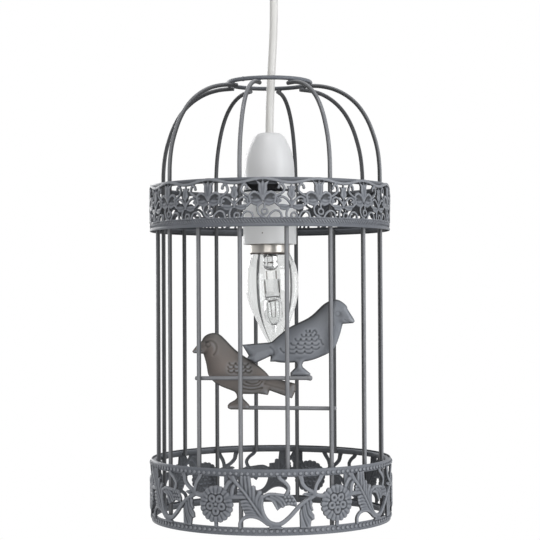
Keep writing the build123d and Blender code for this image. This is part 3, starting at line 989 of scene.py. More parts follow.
@dataclass(frozen=True)
class Glass:
    """Clear glass with faint smears, and painted shade that greys its colour where it is seen edge on."""

    name: str
    colour: Colour
    index: float
    smear_scale: float
    smear_rough: float = 0.012
    edge: Colour = (0.50, 0.51, 0.51)
    edge_blend: float = 0.35
    edge_power: float = 2.5

    def material(self, grain: NodeTree) -> Material:
        """Builds the material.

        Args:
            grain: Shared group for grain and drift.

        Returns:
            The material.
        """
        material, build, noise = start_material(self.name, grain)
        build.set(noise, "Drift Scale", self.smear_scale)
        # Painted shade: the colour greys towards the edge colour where the glass is seen edge on
        slant = build.add("ShaderNodeLayerWeight", Blend=self.edge_blend).outputs["Facing"]
        skin = build.add(
            "ShaderNodeBsdfPrincipled", Transmission_Weight=1.0, IOR=self.index,
            Base_Color=build.blend(build.sum("POWER", slant, self.edge_power), self.colour, self.edge),
            Roughness=build.span(noise.outputs["Drift"], goal=(0.0, self.smear_rough)),
        )
        build.add("ShaderNodeOutputMaterial", Surface=skin.outputs[0])
        return material


class Palette:
    """Every finish of the lamp shade and its pendant set."""

    def __init__(self) -> None:
        """Builds the shared groups, then the materials."""
        self.grain = grain_group()
        self.cover = shade_and_highlight_group()
        self.paint = self.made(
            "blue_grey_paint", (0.123, 0.132, 0.150), (0.143, 0.152, 0.172), 0.32, 0.46,
            grain_scale=1400.0, drift_scale=45.0, bump=0.06, specular=0.3, shaded=(0.034, 0.035, 0.037),
        )
        # More neutral than the sheet paint, and lighter as a painted highlight for the wires' brighter
        # reflection
        self.bar_paint = self.made(
            "bar_paint", (0.170, 0.174, 0.187), (0.194, 0.197, 0.208), 0.28, 0.42,
            grain_scale=1400.0, drift_scale=45.0, bump=0.04, specular=0.45, shaded=(0.030, 0.031, 0.033),
        )
        # Near-black strap paint: painted shade for the strap's shadowed underside
        self.strap_shade_paint = self.made(
            "dark_strap_paint", (0.060, 0.064, 0.072), (0.072, 0.076, 0.084), 0.6, 0.75,
            bump=0.1, specular=0.04, shaded=(0.008, 0.008, 0.009),
        )
        self.right_bird = self.made(
            "right_bird_paint", (0.156, 0.167, 0.189), (0.176, 0.188, 0.209), 0.28, 0.4,
            grain_scale=1400.0, drift_scale=60.0, bump=0.08, specular=0.35, shaded=(0.030, 0.031, 0.033),
        )
        self.left_bird = self.made(
            "left_bird_paint", (0.112, 0.114, 0.111), (0.169, 0.141, 0.128), 0.32, 0.46,
            grain_scale=1400.0, drift_scale=30.0, bump=0.08, specular=0.3, shaded=(0.034, 0.033, 0.032),
        )
        self.holder = self.made(
            "white_holder_plastic", (0.68, 0.68, 0.685), (0.655, 0.655, 0.66), 0.34, 0.42,
            bump=0.015, coat=0.08, specular=0.3,
        )
        # Whiter than the holder's plastic: painted light for the shade ring under the band's shadow
        self.shade_ring = self.made(
            "white_ring_plastic", (0.77, 0.77, 0.77), (0.745, 0.745, 0.745), 0.34, 0.42,
            bump=0.015, coat=0.08, specular=0.3,
        )
        self.flex = self.made(
            "white_flex_sheath", (0.66, 0.65, 0.63), (0.62, 0.61, 0.59), 0.34, 0.5, bump=0.04
        )
        self.rose = self.made(
            "white_rose_plastic", (0.72, 0.72, 0.71), (0.69, 0.69, 0.68), 0.36, 0.46, bump=0.04, specular=0.3
        )
        self.lamp_metal = self.made(
            "bright_lamp_metal", (0.59, 0.565, 0.53), (0.51, 0.482, 0.445), 0.25, 0.40,
            metallic=1.0, grain_scale=700.0, drift_scale=120.0, bump=0.06,
        )
        self.solder = self.made(
            "dull_solder", (0.50, 0.49, 0.47), (0.42, 0.41, 0.39), 0.3, 0.55, metallic=1.0, bump=0.3
        )
        self.cement = self.made(
            "brown_cement", (0.10, 0.072, 0.056), (0.07, 0.052, 0.044), 0.5, 0.7, bump=0.3
        )
        self.wire = self.made(
            "lead_wire_metal", (0.20, 0.18, 0.16), (0.14, 0.13, 0.12), 0.25, 0.45, metallic=1.0, bump=0.1
        )
        self.candle = Glass("clear_candle_glass", (0.865, 0.87, 0.867), 1.46, 40.0).material(self.grain)
        self.capsule = Glass("clear_capsule_glass", (0.95, 0.955, 0.955), 1.45, 90.0).material(self.grain)

    def made(self, *colours: object, **values: object) -> Material:
        """Builds one finish from its name, colours and values."""
        return Finish(*colours, **values).material(self.grain, self.cover)


@dataclass
class Workshop:
    """Trees and finishes that the sub-assemblies share."""

    palette: Palette
    copies: Tree
    wires: Tree
    wrap: Tree

    def repeat(self, piece: Piece, material: Material, count: int, first: float = 0.0) -> None:
        """Repeats a piece evenly round the cage's axis, from a first angle in radians."""
        step = 2 * math.pi / count
        self.copies.apply(piece, Count=count, First_Angle=first, Step_Angle=step, Material=material)

    def wire(
        self, name: str, path: Sequence[Dot], radius: float, material: Material,
        count: int = 1, first: float = 0.0,
    ) -> Piece:
        """Runs a round wire along a path and repeats it round the cage.

        Args:
            name: Name of the piece.
            path: Points in metres.
            radius: Wire radius in mm.
            material: Its finish.
            count: Number of wires.
            first: Angle of the first wire, in radians.

        Returns:
            The wires as one piece.
        """
        self.wires.apply(
            curve_piece(name, path), Wire_Radius=radius * MM, Count=count, First_Angle=first,
            Step_Angle=2 * math.pi / count, Material=material,
        )
        return bpy.data.objects[name]

    def band(self, unit: Piece, foot: float, radius: float, count: int, pitch: float, first: float) -> None:
        """Lifts a flat unit to its height, repeats it and wraps the strip round the cage.

        Args:
            unit: The flat unit.
            foot: Height of its lower edge in mm.
            radius: Radius of the band in mm.
            count: Number of repeats.
            pitch: Length of a repeat in mm.
            first: Angle of the first unit's origin, in degrees.
        """
        for vertex in unit.data.vertices:
            vertex.co.z += level(foot)
        self.wrap.apply(
            unit, Count=count, Pitch=pitch * MM, Radius=radius * MM, First_Angle=math.radians(first),
            Material=self.palette.paint,
        )
        shade(unit, 55)


# Cage


@dataclass
class Cage:
    """Bars, hoops, top ring and strap of the cage, in mm."""

    shop: Workshop
    bar_circle: float = 75.1
    bar_radius: float = 1.4
    bars: int = 8
    first_angle: float = 8.0
    hoop_outer: float = 79.15
    hoop_wall: float = 2.6
    hoop_height: float = 3.0
    hoop_soft: float = 0.35
    shoulder: tuple[Point, ...] = (
        (75.1, 224.0), (74.9, 234.0), (73.7, 244.5), (71.2, 254.2), (66.9, 265.0), (60.8, 274.3),
        (53.2, 281.2), (44.5, 285.8), (35.6, 288.1), (27.8, 288.65), (24.6, 288.75),
    )
    ring_radius: float = 27.8
    ring_height: float = 291.55
    ring_seam: float = -38.0
    ring_weld: Dot = (1.75, 1.6, 1.55)
    weld: float = 1.6
    tip_weld: float = 1.5
    foot_hoop: float = 1.2
    rim_hoop: float = 37.2
    strip_hoop: float = 192.75
    upper_hoop: float = 219.4
    bar_inset: float = 0.4

    def long_angle(self) -> float:
        """Angle of the first long bar, midway between two short ones, in radians."""
        return math.radians(self.first_angle + 180.0 / self.bars)

    def build_bars(self) -> None:
        """Bends the long bars over the dome and sets the short ones between the bands."""
        paint = self.shop.palette.bar_paint
        path = [around(self.bar_circle, 0, h) for h in (self.foot_hoop + self.bar_inset, 60.0, 140.0)]
        path += [around(reach, 0, h) for reach, h in through(self.shoulder, 4)]
        bars = self.shop.wire("long_bars", path, self.bar_radius, paint, self.bars, self.long_angle())
        dress(bars, paint, Slot.CAGE, *[f"long_bar_{k + 1}" for k in range(self.bars)], crease=50)
        low = self.rim_hoop + self.bar_inset
        high = self.strip_hoop + self.hoop_height - self.bar_inset
        path = [around(self.bar_circle, 0, h) for h in (low, 90.0, 150.0, high)]
        first = math.radians(self.first_angle)
        bars = self.shop.wire("short_bars", path, self.bar_radius, paint, self.bars, first)
        dress(bars, paint, Slot.CAGE, *[f"short_bar_{k + 1}" for k in range(self.bars)], crease=50)

    def build_hoops(self) -> None:
        """Rolls the four flat hoops with softened edges."""
        outer, soft = self.hoop_outer, self.hoop_soft
        inner = outer - self.hoop_wall
        for node, base in (
            ("foot_hoop", self.foot_hoop), ("rim_hoop", self.rim_hoop),
            ("strip_hoop", self.strip_hoop), ("upper_hoop", self.upper_hoop),
        ):
            top = base + self.hoop_height
            outline = [
                (inner + soft, base), (outer - soft, base), (outer, base + soft), (outer, top - soft),
                (outer - soft, top), (inner + soft, top), (inner, top - soft), (inner, base + soft),
            ]
            hoop = lathe(node + "_rolled", outline, 180, closed=True)
            if node == "upper_hoop":
                # Painted shade on the upper hoop's outer face, below the band's edge
                self.painted_shade(hoop, level(top - 0.6))
            dress(hoop, self.shop.palette.paint, Slot.CAGE, node, crease=50)

    def painted_shade(self, hoop: Piece, top: float) -> None:
        """Paints shade on a hoop's outer face, where a band stands close.

        Args:
            hoop: The hoop.
            top: Height in metres that the painted shade stays below.
        """
        face = (self.hoop_outer - 0.5) * MM
        spots = [v.co for v in hoop.data.vertices]
        set_recess(hoop, [0.8 if math.hypot(p.x, p.y) > face and p.z < top else 0.0 for p in spots])

    def build_ring(self) -> None:
        """Closes the top ring and lays its butt weld."""
        paint = self.shop.palette.paint
        outline = []
        for a in turns(18):
            reach = self.ring_radius + self.bar_radius * math.cos(a)
            outline.append((reach, self.ring_height + self.bar_radius * math.sin(a)))
        ring = lathe("top_ring_wire", outline, 120, closed=True)
        dress(ring, paint, Slot.CAGE, "top_ring", crease=60)
        seam = around(self.ring_radius, self.ring_seam, self.ring_height)
        dress(lump("ring_weld", seam, self.ring_weld), paint, Slot.CAGE)

    def build_welds(self) -> None:
        """Lays a weld lump wherever a bar meets a hoop or the top ring."""
        paint = self.shop.palette.paint
        reach = self.hoop_outer - self.hoop_wall - 0.2
        half = self.hoop_height / 2
        long = self.long_angle()
        short = math.radians(self.first_angle)
        tip = self.ring_height - self.bar_radius
        for name, radius, height, first, size in (
            ("long_foot", reach, self.foot_hoop + half, long, self.weld),
            ("long_rim", reach, self.rim_hoop + half, long, self.weld),
            ("long_strip", reach, self.strip_hoop + half, long, self.weld),
            ("long_top", reach, self.upper_hoop + half, long, self.weld),
            ("short_rim", reach, self.rim_hoop + half, short, self.weld),
            ("short_strip", reach, self.strip_hoop + half, short, self.weld),
            ("ring_tip", self.ring_radius - 0.2, tip, long, self.tip_weld),
        ):
            weld = lump(f"weld_{name}", around(radius, 0, height), (1.15 * size, 0.6 * size, 0.8 * size))
            self.shop.repeat(weld, paint, self.bars, first)
            dress(weld, paint, Slot.CAGE, crease=80)

    def build_strap(self, strap: Piece) -> None:
        """Paints the strap that carries the lampholder near black, as painted shade."""
        plate = copy_solid(strap, "fitter_strap_plate")
        dress(plate, self.shop.palette.strap_shade_paint, Slot.CAGE, "fitter_strap", crease=35)


def lump(name: str, spot: Dot, reach: Dot) -> Piece:
    """Makes a small uneven weld lump.

    Args:
        name: Name of the piece.
        spot: Its middle, in metres.
        reach: Its half sizes in mm.

    Returns:
        The lump.
    """
    rows, columns = 7, 12
    points = []
    for r in range(rows + 1):
        a = math.pi * r / rows
        for b in turns(columns):
            swell = 1 + 0.07 * math.sin(3 * b + 2 * a) + 0.05 * math.cos(5 * a - b)
            offset = (math.sin(a) * math.cos(b), math.sin(a) * math.sin(b), math.cos(a))
            points.append(tuple(p + o * s * swell * MM for p, o, s in zip(spot, offset, reach)))
    piece = new_object(name, points, [face[::-1] for face in tube_faces(rows, columns)])
    weld_points(piece)
    shade(piece, 80)
    return piece


# Bands


@dataclass
class UpperBand:
    """Pierced palmette band with its rope strip and ledge, in mm."""

    shop: Workshop
    radius: float = 80.0
    wall: float = 0.8
    base: float = 191.7
    strip: float = 5.5
    ledge: float = 1.6
    crest: float = 25.2
    wave: float = 2.6
    rim_width: float = 1.9
    repeats: int = 14
    crest_angle: float = -3.1
    rope_strands: int = 264
    rope_slant: float = 2.4
    pitch: float = 0.485

    def drawing(self) -> Relief:
        """Draws one repeat: a tall tulip in the middle, half a low one at each end."""
        half = math.pi * self.radius / self.repeats
        sheet = Relief(-half, half, -0.8, self.crest + 0.4, self.pitch)
        tall = (
            (0.0, 23.4), (1.1, 21.6), (4.2, 22.9), (2.9, 20.4), (3.0, 17.4), (2.5, 15.4), (1.2, 12.8),
            (0.0, 11.0),
        )
        low = (
            (0.0, 21.0), (0.9, 19.2), (3.0, 19.6), (1.9, 17.4), (2.3, 15.8), (2.7, 14.4), (1.9, 12.8),
            (0.0, 11.0),
        )
        for shift in (-2 * half, 0.0, 2 * half):
            sheet.shift = shift
            self.rim(sheet, half)
            for side in (-1, 1):
                self.eyes(sheet, side, half)
            self.foot_scrolls(sheet, half)
            self.tulip(sheet, 0.0, tall)
            self.tulip(sheet, half, low)
        sheet.shift = 0.0
        sheet.edge = np.maximum(sheet.edge, -0.7 - sheet.v)
        sheet.soften(1)
        return sheet

    def rim(self, sheet: Relief, half: float) -> None:
        """Presses the waved edge and the foot line.

        Args:
            sheet: The drawing.
            half: Half the repeat's length.
        """
        line = []
        steps = 6
        for k in range(-steps, steps + 1):
            fall = self.wave * (1 - math.cos(math.pi * k / steps)) / 2
            line.append((half * k / steps, self.crest - self.rim_width / 2 - fall))
        sheet.strip(line, self.rim_width, 0.6)
        sheet.strip([(-half, -0.3), (half, -0.3)], 1.0, 0.25)

    def tulip(self, sheet: Relief, middle: float, side: Sequence[Point]) -> None:
        """Presses a closed tulip with three tips.

        Args:
            sheet: The drawing.
            middle: Its place along the band.
            side: Its right side, from the middle tip to the foot.
        """
        right = [(middle + u, v) for u, v in side]
        left = [(middle - u, v) for u, v in side[-2:0:-1]]
        sheet.area(right + left, 0.95, 1.7)
        valley, foot = side[1], side[-1][1]
        for turn in (-1, 1):
            line = [(middle + turn * valley[0] * s, foot + (valley[1] - foot) * s) for s in (1.0, 0.65, 0.3)]
            sheet.groove(line, 0.8, 0.26)

    def eyes(self, sheet: Relief, side: int, half: float) -> None:
        """Presses the scroll eyes, their leaves and the hook on one side of a tall tulip.

        Args:
            sheet: The drawing.
            side: -1 for the left, 1 for the right.
            half: Half the repeat's length.
        """
        cup = (
            (0.9, 11.6), (2.4, 13.9), (5.0, 15.4), (7.2, 14.2), (7.7, 12.4), (7.2, 10.9), (5.0, 10.4),
            (2.6, 10.7),
        )
        sheet.bowl([(side * u, v) for u, v in cup], 0.9, 1.3)
        for line in (
            ((0.0, 11.2), (2.2, 14.3), (5.0, 15.9), (7.6, 14.7), (8.2, 12.5), (7.4, 9.6)),
            ((9.9, 18.4), (10.3, 20.0), (12.0, 20.7), (13.35, 18.8), (13.3, 16.5), (11.3, 14.7), (8.6, 13.2)),
            ((9.5, 9.2), (9.7, 11.6), (12.3, 12.8), (15.3, 11.1), (half, 7.6)),
            ((7.4, 9.6), (8.8, 8.4), (10.2, 7.3)),
        ):
            sheet.strip(line, 1.5, 0.75, side)
        for u, v in ((9.9, 18.5), (7.0, 12.7), (10.9, 10.3)):
            sheet.bead((side * u, v), 0.9, 0.65)
        inner = (
            (0.2, 10.6), (1.2, 8.0), (3.7, 7.1), (6.6, 8.1), (7.9, 10.2), (7.4, 11.5), (5.2, 11.2),
            (2.8, 11.6),
        )
        outer = (
            (9.8, 7.4), (11.1, 5.0), (13.6, 4.4), (16.5, 5.3), (half, 6.8), (16.4, 7.7), (13.2, 8.2),
            (10.8, 8.3),
        )
        for leaf, vein in (
            (inner, ((1.4, 10.3), (4.2, 9.4), (6.9, 10.1))),
            (outer, ((10.8, 6.9), (13.6, 6.3), (16.8, 6.9))),
        ):
            sheet.area([(side * u, v) for u, v in leaf], 0.5, 1.2)
            sheet.groove([(side * u, v) for u, v in vein], 0.8, 0.35)

    def foot_scrolls(self, sheet: Relief, half: float) -> None:
        """Presses the bowl, the rings and the arches that stand on the strip.

        Args:
            sheet: The drawing.
            half: Half the repeat's length.
        """
        for line in (
            ((-0.4, 8.9), (-2.9, 7.2), (-3.4, 4.7), (-2.1, 1.7), (1.0, 0.2)),
            ((1.0, 8.6), (1.2, 5.6)),
            ((3.4, 0.2), (5.2, 2.7), (8.0, 4.4), (10.8, 3.3), (12.1, -0.3)),
            ((-13.4, -0.3), (-11.6, 3.1), (-9.1, 3.9), (-6.8, 2.6), (-5.9, -0.3)),
            ((15.8, 5.4), (14.8, 2.8), (15.0, -0.3)),
            ((half, 11.6), (half, 6.4)),
        ):
            sheet.strip(line, 1.3, 0.65)
        sheet.ring((1.2, 3.7), 1.75, 1.25, 0.65)
        sheet.ring((half + 1.6, 1.3), 1.75, 1.2, 0.6)

    def build(self) -> None:
        """Wraps the palmettes, turns the strip and lays its rope."""
        paint = self.shop.palette.paint
        foot, floor = self.base, self.base + self.strip
        unit = self.drawing().sheet("upper_palmettes", self.wall, 0.7, flat_place)
        pitch = 2 * (math.pi * self.radius / self.repeats)
        self.shop.band(unit, floor, self.radius, self.repeats, pitch, self.crest_angle)
        dress(unit, paint, Slot.CAGE, "upper_band")
        face, inner = self.radius, self.radius - self.wall
        shelf = foot + self.ledge
        outline = [
            (inner, foot), (face + 0.1, foot), (face + 0.5, foot + 0.5), (face + 0.5, shelf - 0.4),
            (face + 0.15, shelf), (face - 0.1, shelf + 0.3), (face - 0.1, floor - 0.5),
            (face + 0.2, floor - 0.2), (face + 0.1, floor), (inner, floor),
        ]
        strip = lathe("upper_strip", outline, 180, closed=True)
        dress(strip, paint, Slot.CAGE, crease=40)
        self.rope(shelf + 0.25, floor - 0.2)

    def rope(self, low: float, high: float) -> None:
        """Lays slanting strands along the strip.

        Args:
            low: Height of their feet.
            high: Height of their tops.
        """
        paint = self.shop.palette.paint
        points = []
        steps = 7
        for k in range(steps + 1):
            t = k / steps
            swell = math.sin(math.pi * min(max(t, 0.06), 0.94))
            along = self.rope_slant * (0.5 - t)
            height = low + (high - low) * t
            for side, out in ((-0.68, 0.0), (-0.3, 0.46), (0.3, 0.46), (0.68, 0.0)):
                angle = math.degrees((along + side * swell) / self.radius)
                points.append(around(self.radius - 0.12 + out * swell, angle, height))
        rows = [4 * k + c for k in range(steps) for c in range(3)]
        strand = new_object("rope_strands", points, [(a, a + 1, a + 5, a + 4) for a in rows])
        # Painted shade along each strand's edges and a painted highlight along its middle
        set_recess(strand, np.tile((0.95, -0.4, -0.5, 0.8), steps + 1))
        self.shop.repeat(strand, paint, self.rope_strands)
        dress(strand, paint, Slot.CAGE, crease=60)


@dataclass
class LowerBand:
    """Pierced flower band with two beaded rims, in mm."""

    shop: Workshop
    radius: float = 80.0
    wall: float = 0.8
    height: float = 41.2
    top_rim: float = 5.0
    top_proud: float = 1.1
    foot_rim: float = 5.4
    foot_proud: float = 0.6
    front_repeats: int = 3
    rear_repeats: int = 2
    repeat_angle: float = 56.5
    lap_angle: float = 15.5
    flower_angle: float = -25.5
    flower_radius: float = 11.7
    flower_height: float = 13.5
    petals: int = 20
    petal_notch: float = 1.1
    petal_start: float = 5.4
    loops: int = 5
    loop_offset: float = 4.2
    loop_radius: float = 2.5
    grid: float = 79.0
    beads: int = 138
    bead_size: float = 1.32
    bead_rise: float = 0.82
    pitch: float = 0.38

    def drawing(self, length: float, spray: bool) -> Relief:
        """Draws one repeat, or the seam panel, between two half flowers.

        Args:
            length: Length of the panel.
            spray: Whether the vines and leaves are drawn.

        Returns:
            The drawing.
        """
        top = self.height - self.top_rim - self.foot_rim
        sheet = Relief(0.0, length, -1.2, top + 1.2, self.pitch)
        if spray:
            sheet.stretch = length / self.grid
            self.feather(sheet)
            self.vine(sheet)
            self.small_leaf(sheet)
            sheet.stretch = 1.0
        for u in (0.0, length):
            self.flower(sheet, u)
        sheet.edge = np.maximum(sheet.edge, np.maximum(-1.0 - sheet.v, sheet.v - top - 1.0))
        sheet.soften(1)
        return sheet

    def flower(self, sheet: Relief, middle: float) -> None:
        """Presses a daisy: a ring of petals, five looped ones inside and a bead.

        Args:
            sheet: The drawing.
            middle: Place of its middle along the band.
        """
        high = self.flower_height
        sheet.stroke([(middle, -1.2, 2.6), (middle, 3.0, 2.2)], 0.5, 0.1)
        u, v = sheet.u - middle, sheet.v - high
        reach = np.hypot(u, v)
        wave = np.sqrt(np.abs(np.cos(0.5 * self.petals * np.arctan2(v, u))))
        edge = reach - (self.flower_radius - self.petal_notch * (1 - wave))
        ridge = (0.3 + 0.72 * wave) * np.clip((reach - self.petal_start) / 0.8, 0, 1)
        sheet.press(edge, 0.04 + ridge * dome((self.flower_radius - reach) / 2.4))
        rings = []
        for k in range(self.loops):
            a = math.radians(360 / self.loops * k - 90)
            out = u * math.cos(a) + v * math.sin(a) - self.loop_offset
            rings.append(np.hypot(out / 1.12, v * math.cos(a) - u * math.sin(a)))
            sheet.height -= 0.8 * np.exp(-(((rings[-1] - self.loop_radius - 0.15) / 0.42) ** 2))
        for ring in rings:
            sheet.press(ring - self.loop_radius, 0.32 + 0.7 * dome(1.0 - np.abs(ring - 1.6) / 1.0))
        sheet.bead((middle, high), 1.4, 0.9, 0.2)

    def feather(self, sheet: Relief) -> None:
        """Presses the feather leaf on the flower's right, its barbs and its arch.

        Args:
            sheet: The drawing.
        """
        blade = [
            (14.7, 23.7), (18.1, 21.4), (21.7, 17.0), (25.2, 11.8), (30.0, 5.3), (22.5, 6.5), (19.8, 7.5),
            (18.6, 9.3), (18.1, 11.0), (17.1, 11.2), (16.8, 13.4), (16.6, 16.3), (14.4, 16.7),
        ]
        comb = [
            (14.5, 27.0), (16.3, 31.2), (22.4, 31.2), (23.1, 25.4), (25.8, 25.5), (26.1, 23.0), (30.0, 22.6),
            (29.9, 19.6), (29.2, 16.7), (29.0, 13.2), (29.6, 9.2), (30.5, 5.7), (28.3, 7.9), (25.2, 12.3),
            (21.7, 17.3), (18.1, 21.8),
        ]
        tuft = [
            (5.6, 31.2), (11.3, 31.2), (13.1, 27.4), (12.4, 25.2), (12.6, 20.1), (10.1, 19.2), (7.9, 20.6),
            (5.6, 25.4),
        ]
        for corners in (blade, comb, tuft):
            sheet.area(corners, 0.05, 1.0)
        for width, line in (
            (2.7, ((12.2, 29.2), (8.9, 27.3), (6.5, 23.7))),
            (2.6, ((13.6, 27.0), (11.5, 23.8), (10.8, 19.4))),
            (2.0, ((17.7, 22.5), (16.1, 22.9), (15.2, 22.5))),
            (2.0, ((19.0, 20.5), (16.7, 20.9), (15.0, 20.7))),
            (2.9, ((20.1, 18.6), (16.3, 18.6), (10.3, 18.3), (6.5, 17.5))),
            (2.2, ((22.1, 15.5), (19.9, 16.1), (17.3, 15.6))),
            (2.2, ((23.7, 13.1), (20.8, 13.9), (17.6, 13.6))),
            (2.1, ((25.2, 10.7), (22.1, 11.8), (18.2, 11.6))),
            (2.0, ((26.5, 9.0), (23.4, 9.8), (19.5, 9.6))),
            (1.9, ((28.1, 7.2), (24.3, 8.1), (20.3, 7.9))),
            (2.3, ((17.7, 22.7), (17.2, 26.2), (17.2, 31.0))),
            (2.3, ((20.1, 19.7), (19.9, 24.9), (19.3, 31.0))),
            (2.3, ((22.6, 16.6), (22.4, 23.2), (21.5, 31.0))),
            (2.5, ((24.6, 14.0), (24.6, 20.2), (24.5, 24.6))),
            (2.7, ((26.8, 10.9), (26.4, 16.7), (28.5, 21.4))),
            (2.0, ((29.2, 7.4), (28.1, 13.6), (29.2, 18.6))),
        ):
            sheet.strip(line, width, 0.95)
        rib = [
            (10.4, 31.6, 3.8), (13.6, 27.4, 2.5), (19.0, 21.4, 1.8), (24.3, 14.0, 1.6), (29.6, 6.6, 1.8),
            (35.7, 1.2, 2.8),
        ]
        sheet.groove([(u, v) for u, v, _ in rib], 3.4, 0.6)
        sheet.stroke(rib, 1.05, 0.35)
        arch = ((16.1, -1.2), (16.2, 2.8), (18.5, 5.5), (22.1, 6.7), (26.1, 6.4), (29.6, 4.9), (33.5, 2.0))
        sheet.strip(arch, 2.3, 0.95)

    def vine(self, sheet: Relief) -> None:
        """Presses the U-shaped vine, its thistle and its forks.

        Args:
            sheet: The drawing.
        """
        thistle = [
            (30.4, 19.2), (32.0, 20.5), (34.1, 21.3), (38.0, 21.4), (42.5, 20.7), (46.9, 20.5), (49.1, 19.2),
            (50.9, 16.5), (51.7, 13.6), (51.3, 12.2), (50.0, 12.8), (46.9, 13.5), (44.4, 13.2), (43.1, 11.9),
            (41.8, 12.2), (39.4, 10.3), (38.5, 13.1), (36.3, 15.8), (33.7, 16.8), (31.4, 16.8),
        ]
        sheet.area(thistle, 0.45, 1.2)
        for line in (
            ((33.0, 17.9, 2.0), (36.8, 16.8, 2.5), (39.4, 11.4, 1.2)),
            ((35.5, 19.2, 2.0), (40.2, 16.6, 2.5), (43.0, 12.6, 1.2)),
            ((38.6, 19.6, 1.8), (42.2, 17.2, 1.9), (44.3, 14.0, 1.2)),
            ((30.8, 19.0, 2.0), (35.0, 20.5, 2.0), (43.0, 19.9, 1.6)),
            ((46.9, 20.0, 0.8), (49.2, 18.6, 0.8), (51.0, 15.6, 0.8), (51.2, 12.8, 1.0)),
            ((35.0, -0.8, 2.4), (38.4, 0.0, 3.2), (41.8, -0.8, 2.4)),
            (
                (30.0, 19.1, 2.2), (29.8, 15.8, 2.2), (29.6, 13.2, 2.3), (30.4, 9.2, 2.4), (32.1, 5.7, 2.5),
                (34.6, 3.1, 2.7), (37.5, 1.9, 2.9),
            ),
            (
                (35.8, 2.5, 2.7), (38.9, 1.7, 2.9), (42.2, 2.5, 2.7), (46.8, 6.0, 2.6), (51.3, 10.7, 2.6),
                (54.9, 14.1, 2.6), (58.6, 16.4, 2.7), (62.6, 19.0, 3.2),
            ),
            (
                (40.2, 32.0, 3.0), (41.4, 29.8, 2.5), (44.3, 27.6, 2.3), (46.3, 24.9, 2.3), (46.3, 22.7, 2.3),
                (45.2, 20.3, 2.4),
            ),
            ((53.8, 32.0, 3.4), (54.6, 29.5, 3.0), (55.4, 26.4, 2.7), (58.2, 23.4, 2.5), (62.6, 20.8, 2.7)),
            ((68.0, 32.0, 3.2), (66.7, 29.3, 2.8), (64.6, 26.0, 2.4), (63.6, 23.0, 2.4), (63.1, 20.4, 2.8)),
            ((62.4, 20.0, 3.2), (66.2, 18.8, 2.7), (69.8, 18.4, 3.2)),
        ):
            sheet.stroke(line, 1.02, 0.3)
        seeds = ((18.8, (44.2, 46.4, 48.4)), (16.7, (44.9, 47.1, 49.3)), (14.7, (46.3, 48.4, 50.2)))
        for v, row in seeds:
            for u in row:
                sheet.bead((u, v), 0.95, 0.65, 0.4)

    def small_leaf(self, sheet: Relief) -> None:
        """Presses the acanthus leaf and the bud leaf at the fork.

        Args:
            sheet: The drawing.
        """
        bud = [
            (55.2, 19.8), (56.8, 20.9), (60.5, 21.1), (62.5, 20.5), (62.0, 18.9), (60.5, 18.1), (58.6, 18.4),
        ]
        sheet.area(bud, 0.8, 1.1)
        sheet.groove([(56.4, 19.8), (59.6, 19.7), (61.6, 19.7)], 0.7, 0.4)
        leaf = [
            (59.5, 17.0), (60.9, 16.4), (61.9, 15.1), (61.5, 12.9), (62.4, 9.9), (61.2, 9.2), (62.9, 7.1),
            (63.1, 4.4), (61.0, 3.4), (60.6, 1.0), (60.2, -1.2), (53.6, -1.2), (53.5, 5.3), (53.3, 8.8),
            (54.6, 12.6), (57.4, 15.8),
        ]
        sheet.area(leaf, 0.98, 1.7)
        for width, depth, line in (
            (1.0, 0.6, ((54.9, 12.2), (55.4, 6.6), (57.8, 0.2))),
            (1.0, 0.6, ((57.2, 14.0), (58.6, 7.6), (61.4, 4.0))),
            (1.0, 0.6, ((59.2, 15.8), (60.0, 11.6), (61.6, 9.8))),
            (0.7, 0.25, ((56.0, 12.4), (57.0, 6.6), (59.6, 1.0))),
            (0.7, 0.25, ((58.4, 14.0), (59.4, 9.4), (61.8, 6.4))),
        ):
            sheet.groove(line, width, depth)

    def build(self) -> None:
        """Wraps the flowers and sprays, turns the rims and lays their beads."""
        repeats = self.front_repeats + self.rear_repeats
        length = math.radians(self.repeat_angle) * self.radius
        lap = math.radians(self.lap_angle) * self.radius
        joint = 2 * math.pi * self.radius - repeats * length - lap
        front = self.flower_angle - self.repeat_angle
        rear = front + self.front_repeats * self.repeat_angle + self.lap_angle
        for name, long, spray, count, first in (
            ("front", length, True, self.front_repeats, front),
            ("rear", length, True, self.rear_repeats, rear),
            ("lap", lap, False, 1, rear - self.lap_angle),
            ("joint", joint, True, 1, front - math.degrees(joint / self.radius)),
        ):
            unit = self.drawing(long, spray).sheet(f"lower_{name}_flowers", self.wall, 0.75, flat_place)
            self.shop.band(unit, self.foot_rim, self.radius, count, long, first)
            dress(unit, self.shop.palette.paint, Slot.CAGE, "lower_band")
        rim = self.height - self.top_rim
        self.rim("lower_top_rim", rim, self.height, self.top_proud)
        self.rim("lower_foot_rim", 0.0, self.foot_rim, self.foot_proud)
        self.bead_row("top_rim_beads", rim + 0.42 * self.top_rim, self.top_proud)
        self.bead_row("foot_rim_beads", 0.56 * self.foot_rim, self.foot_proud)

    def rim(self, name: str, low: float, high: float, proud: float) -> None:
        """Turns one rounded rim.

        Args:
            name: Name of the piece.
            low: Its lower edge.
            high: Its upper edge.
            proud: How far it stands out of the sheet.
        """
        inner = self.radius - self.wall
        edge = self.radius - 0.3
        out = self.radius + proud - 0.75
        corners = [
            (inner, low + 0.2), (edge, low), (out - 0.15, low + 1.0), (out, 0.5 * (low + high)),
            (out - 0.15, high - 1.0), (edge, high), (inner, high - 0.2),
        ]
        band = lathe(name, softened(corners, 0.7, 3), 200, closed=True)
        dress(band, self.shop.palette.paint, Slot.CAGE, crease=40)

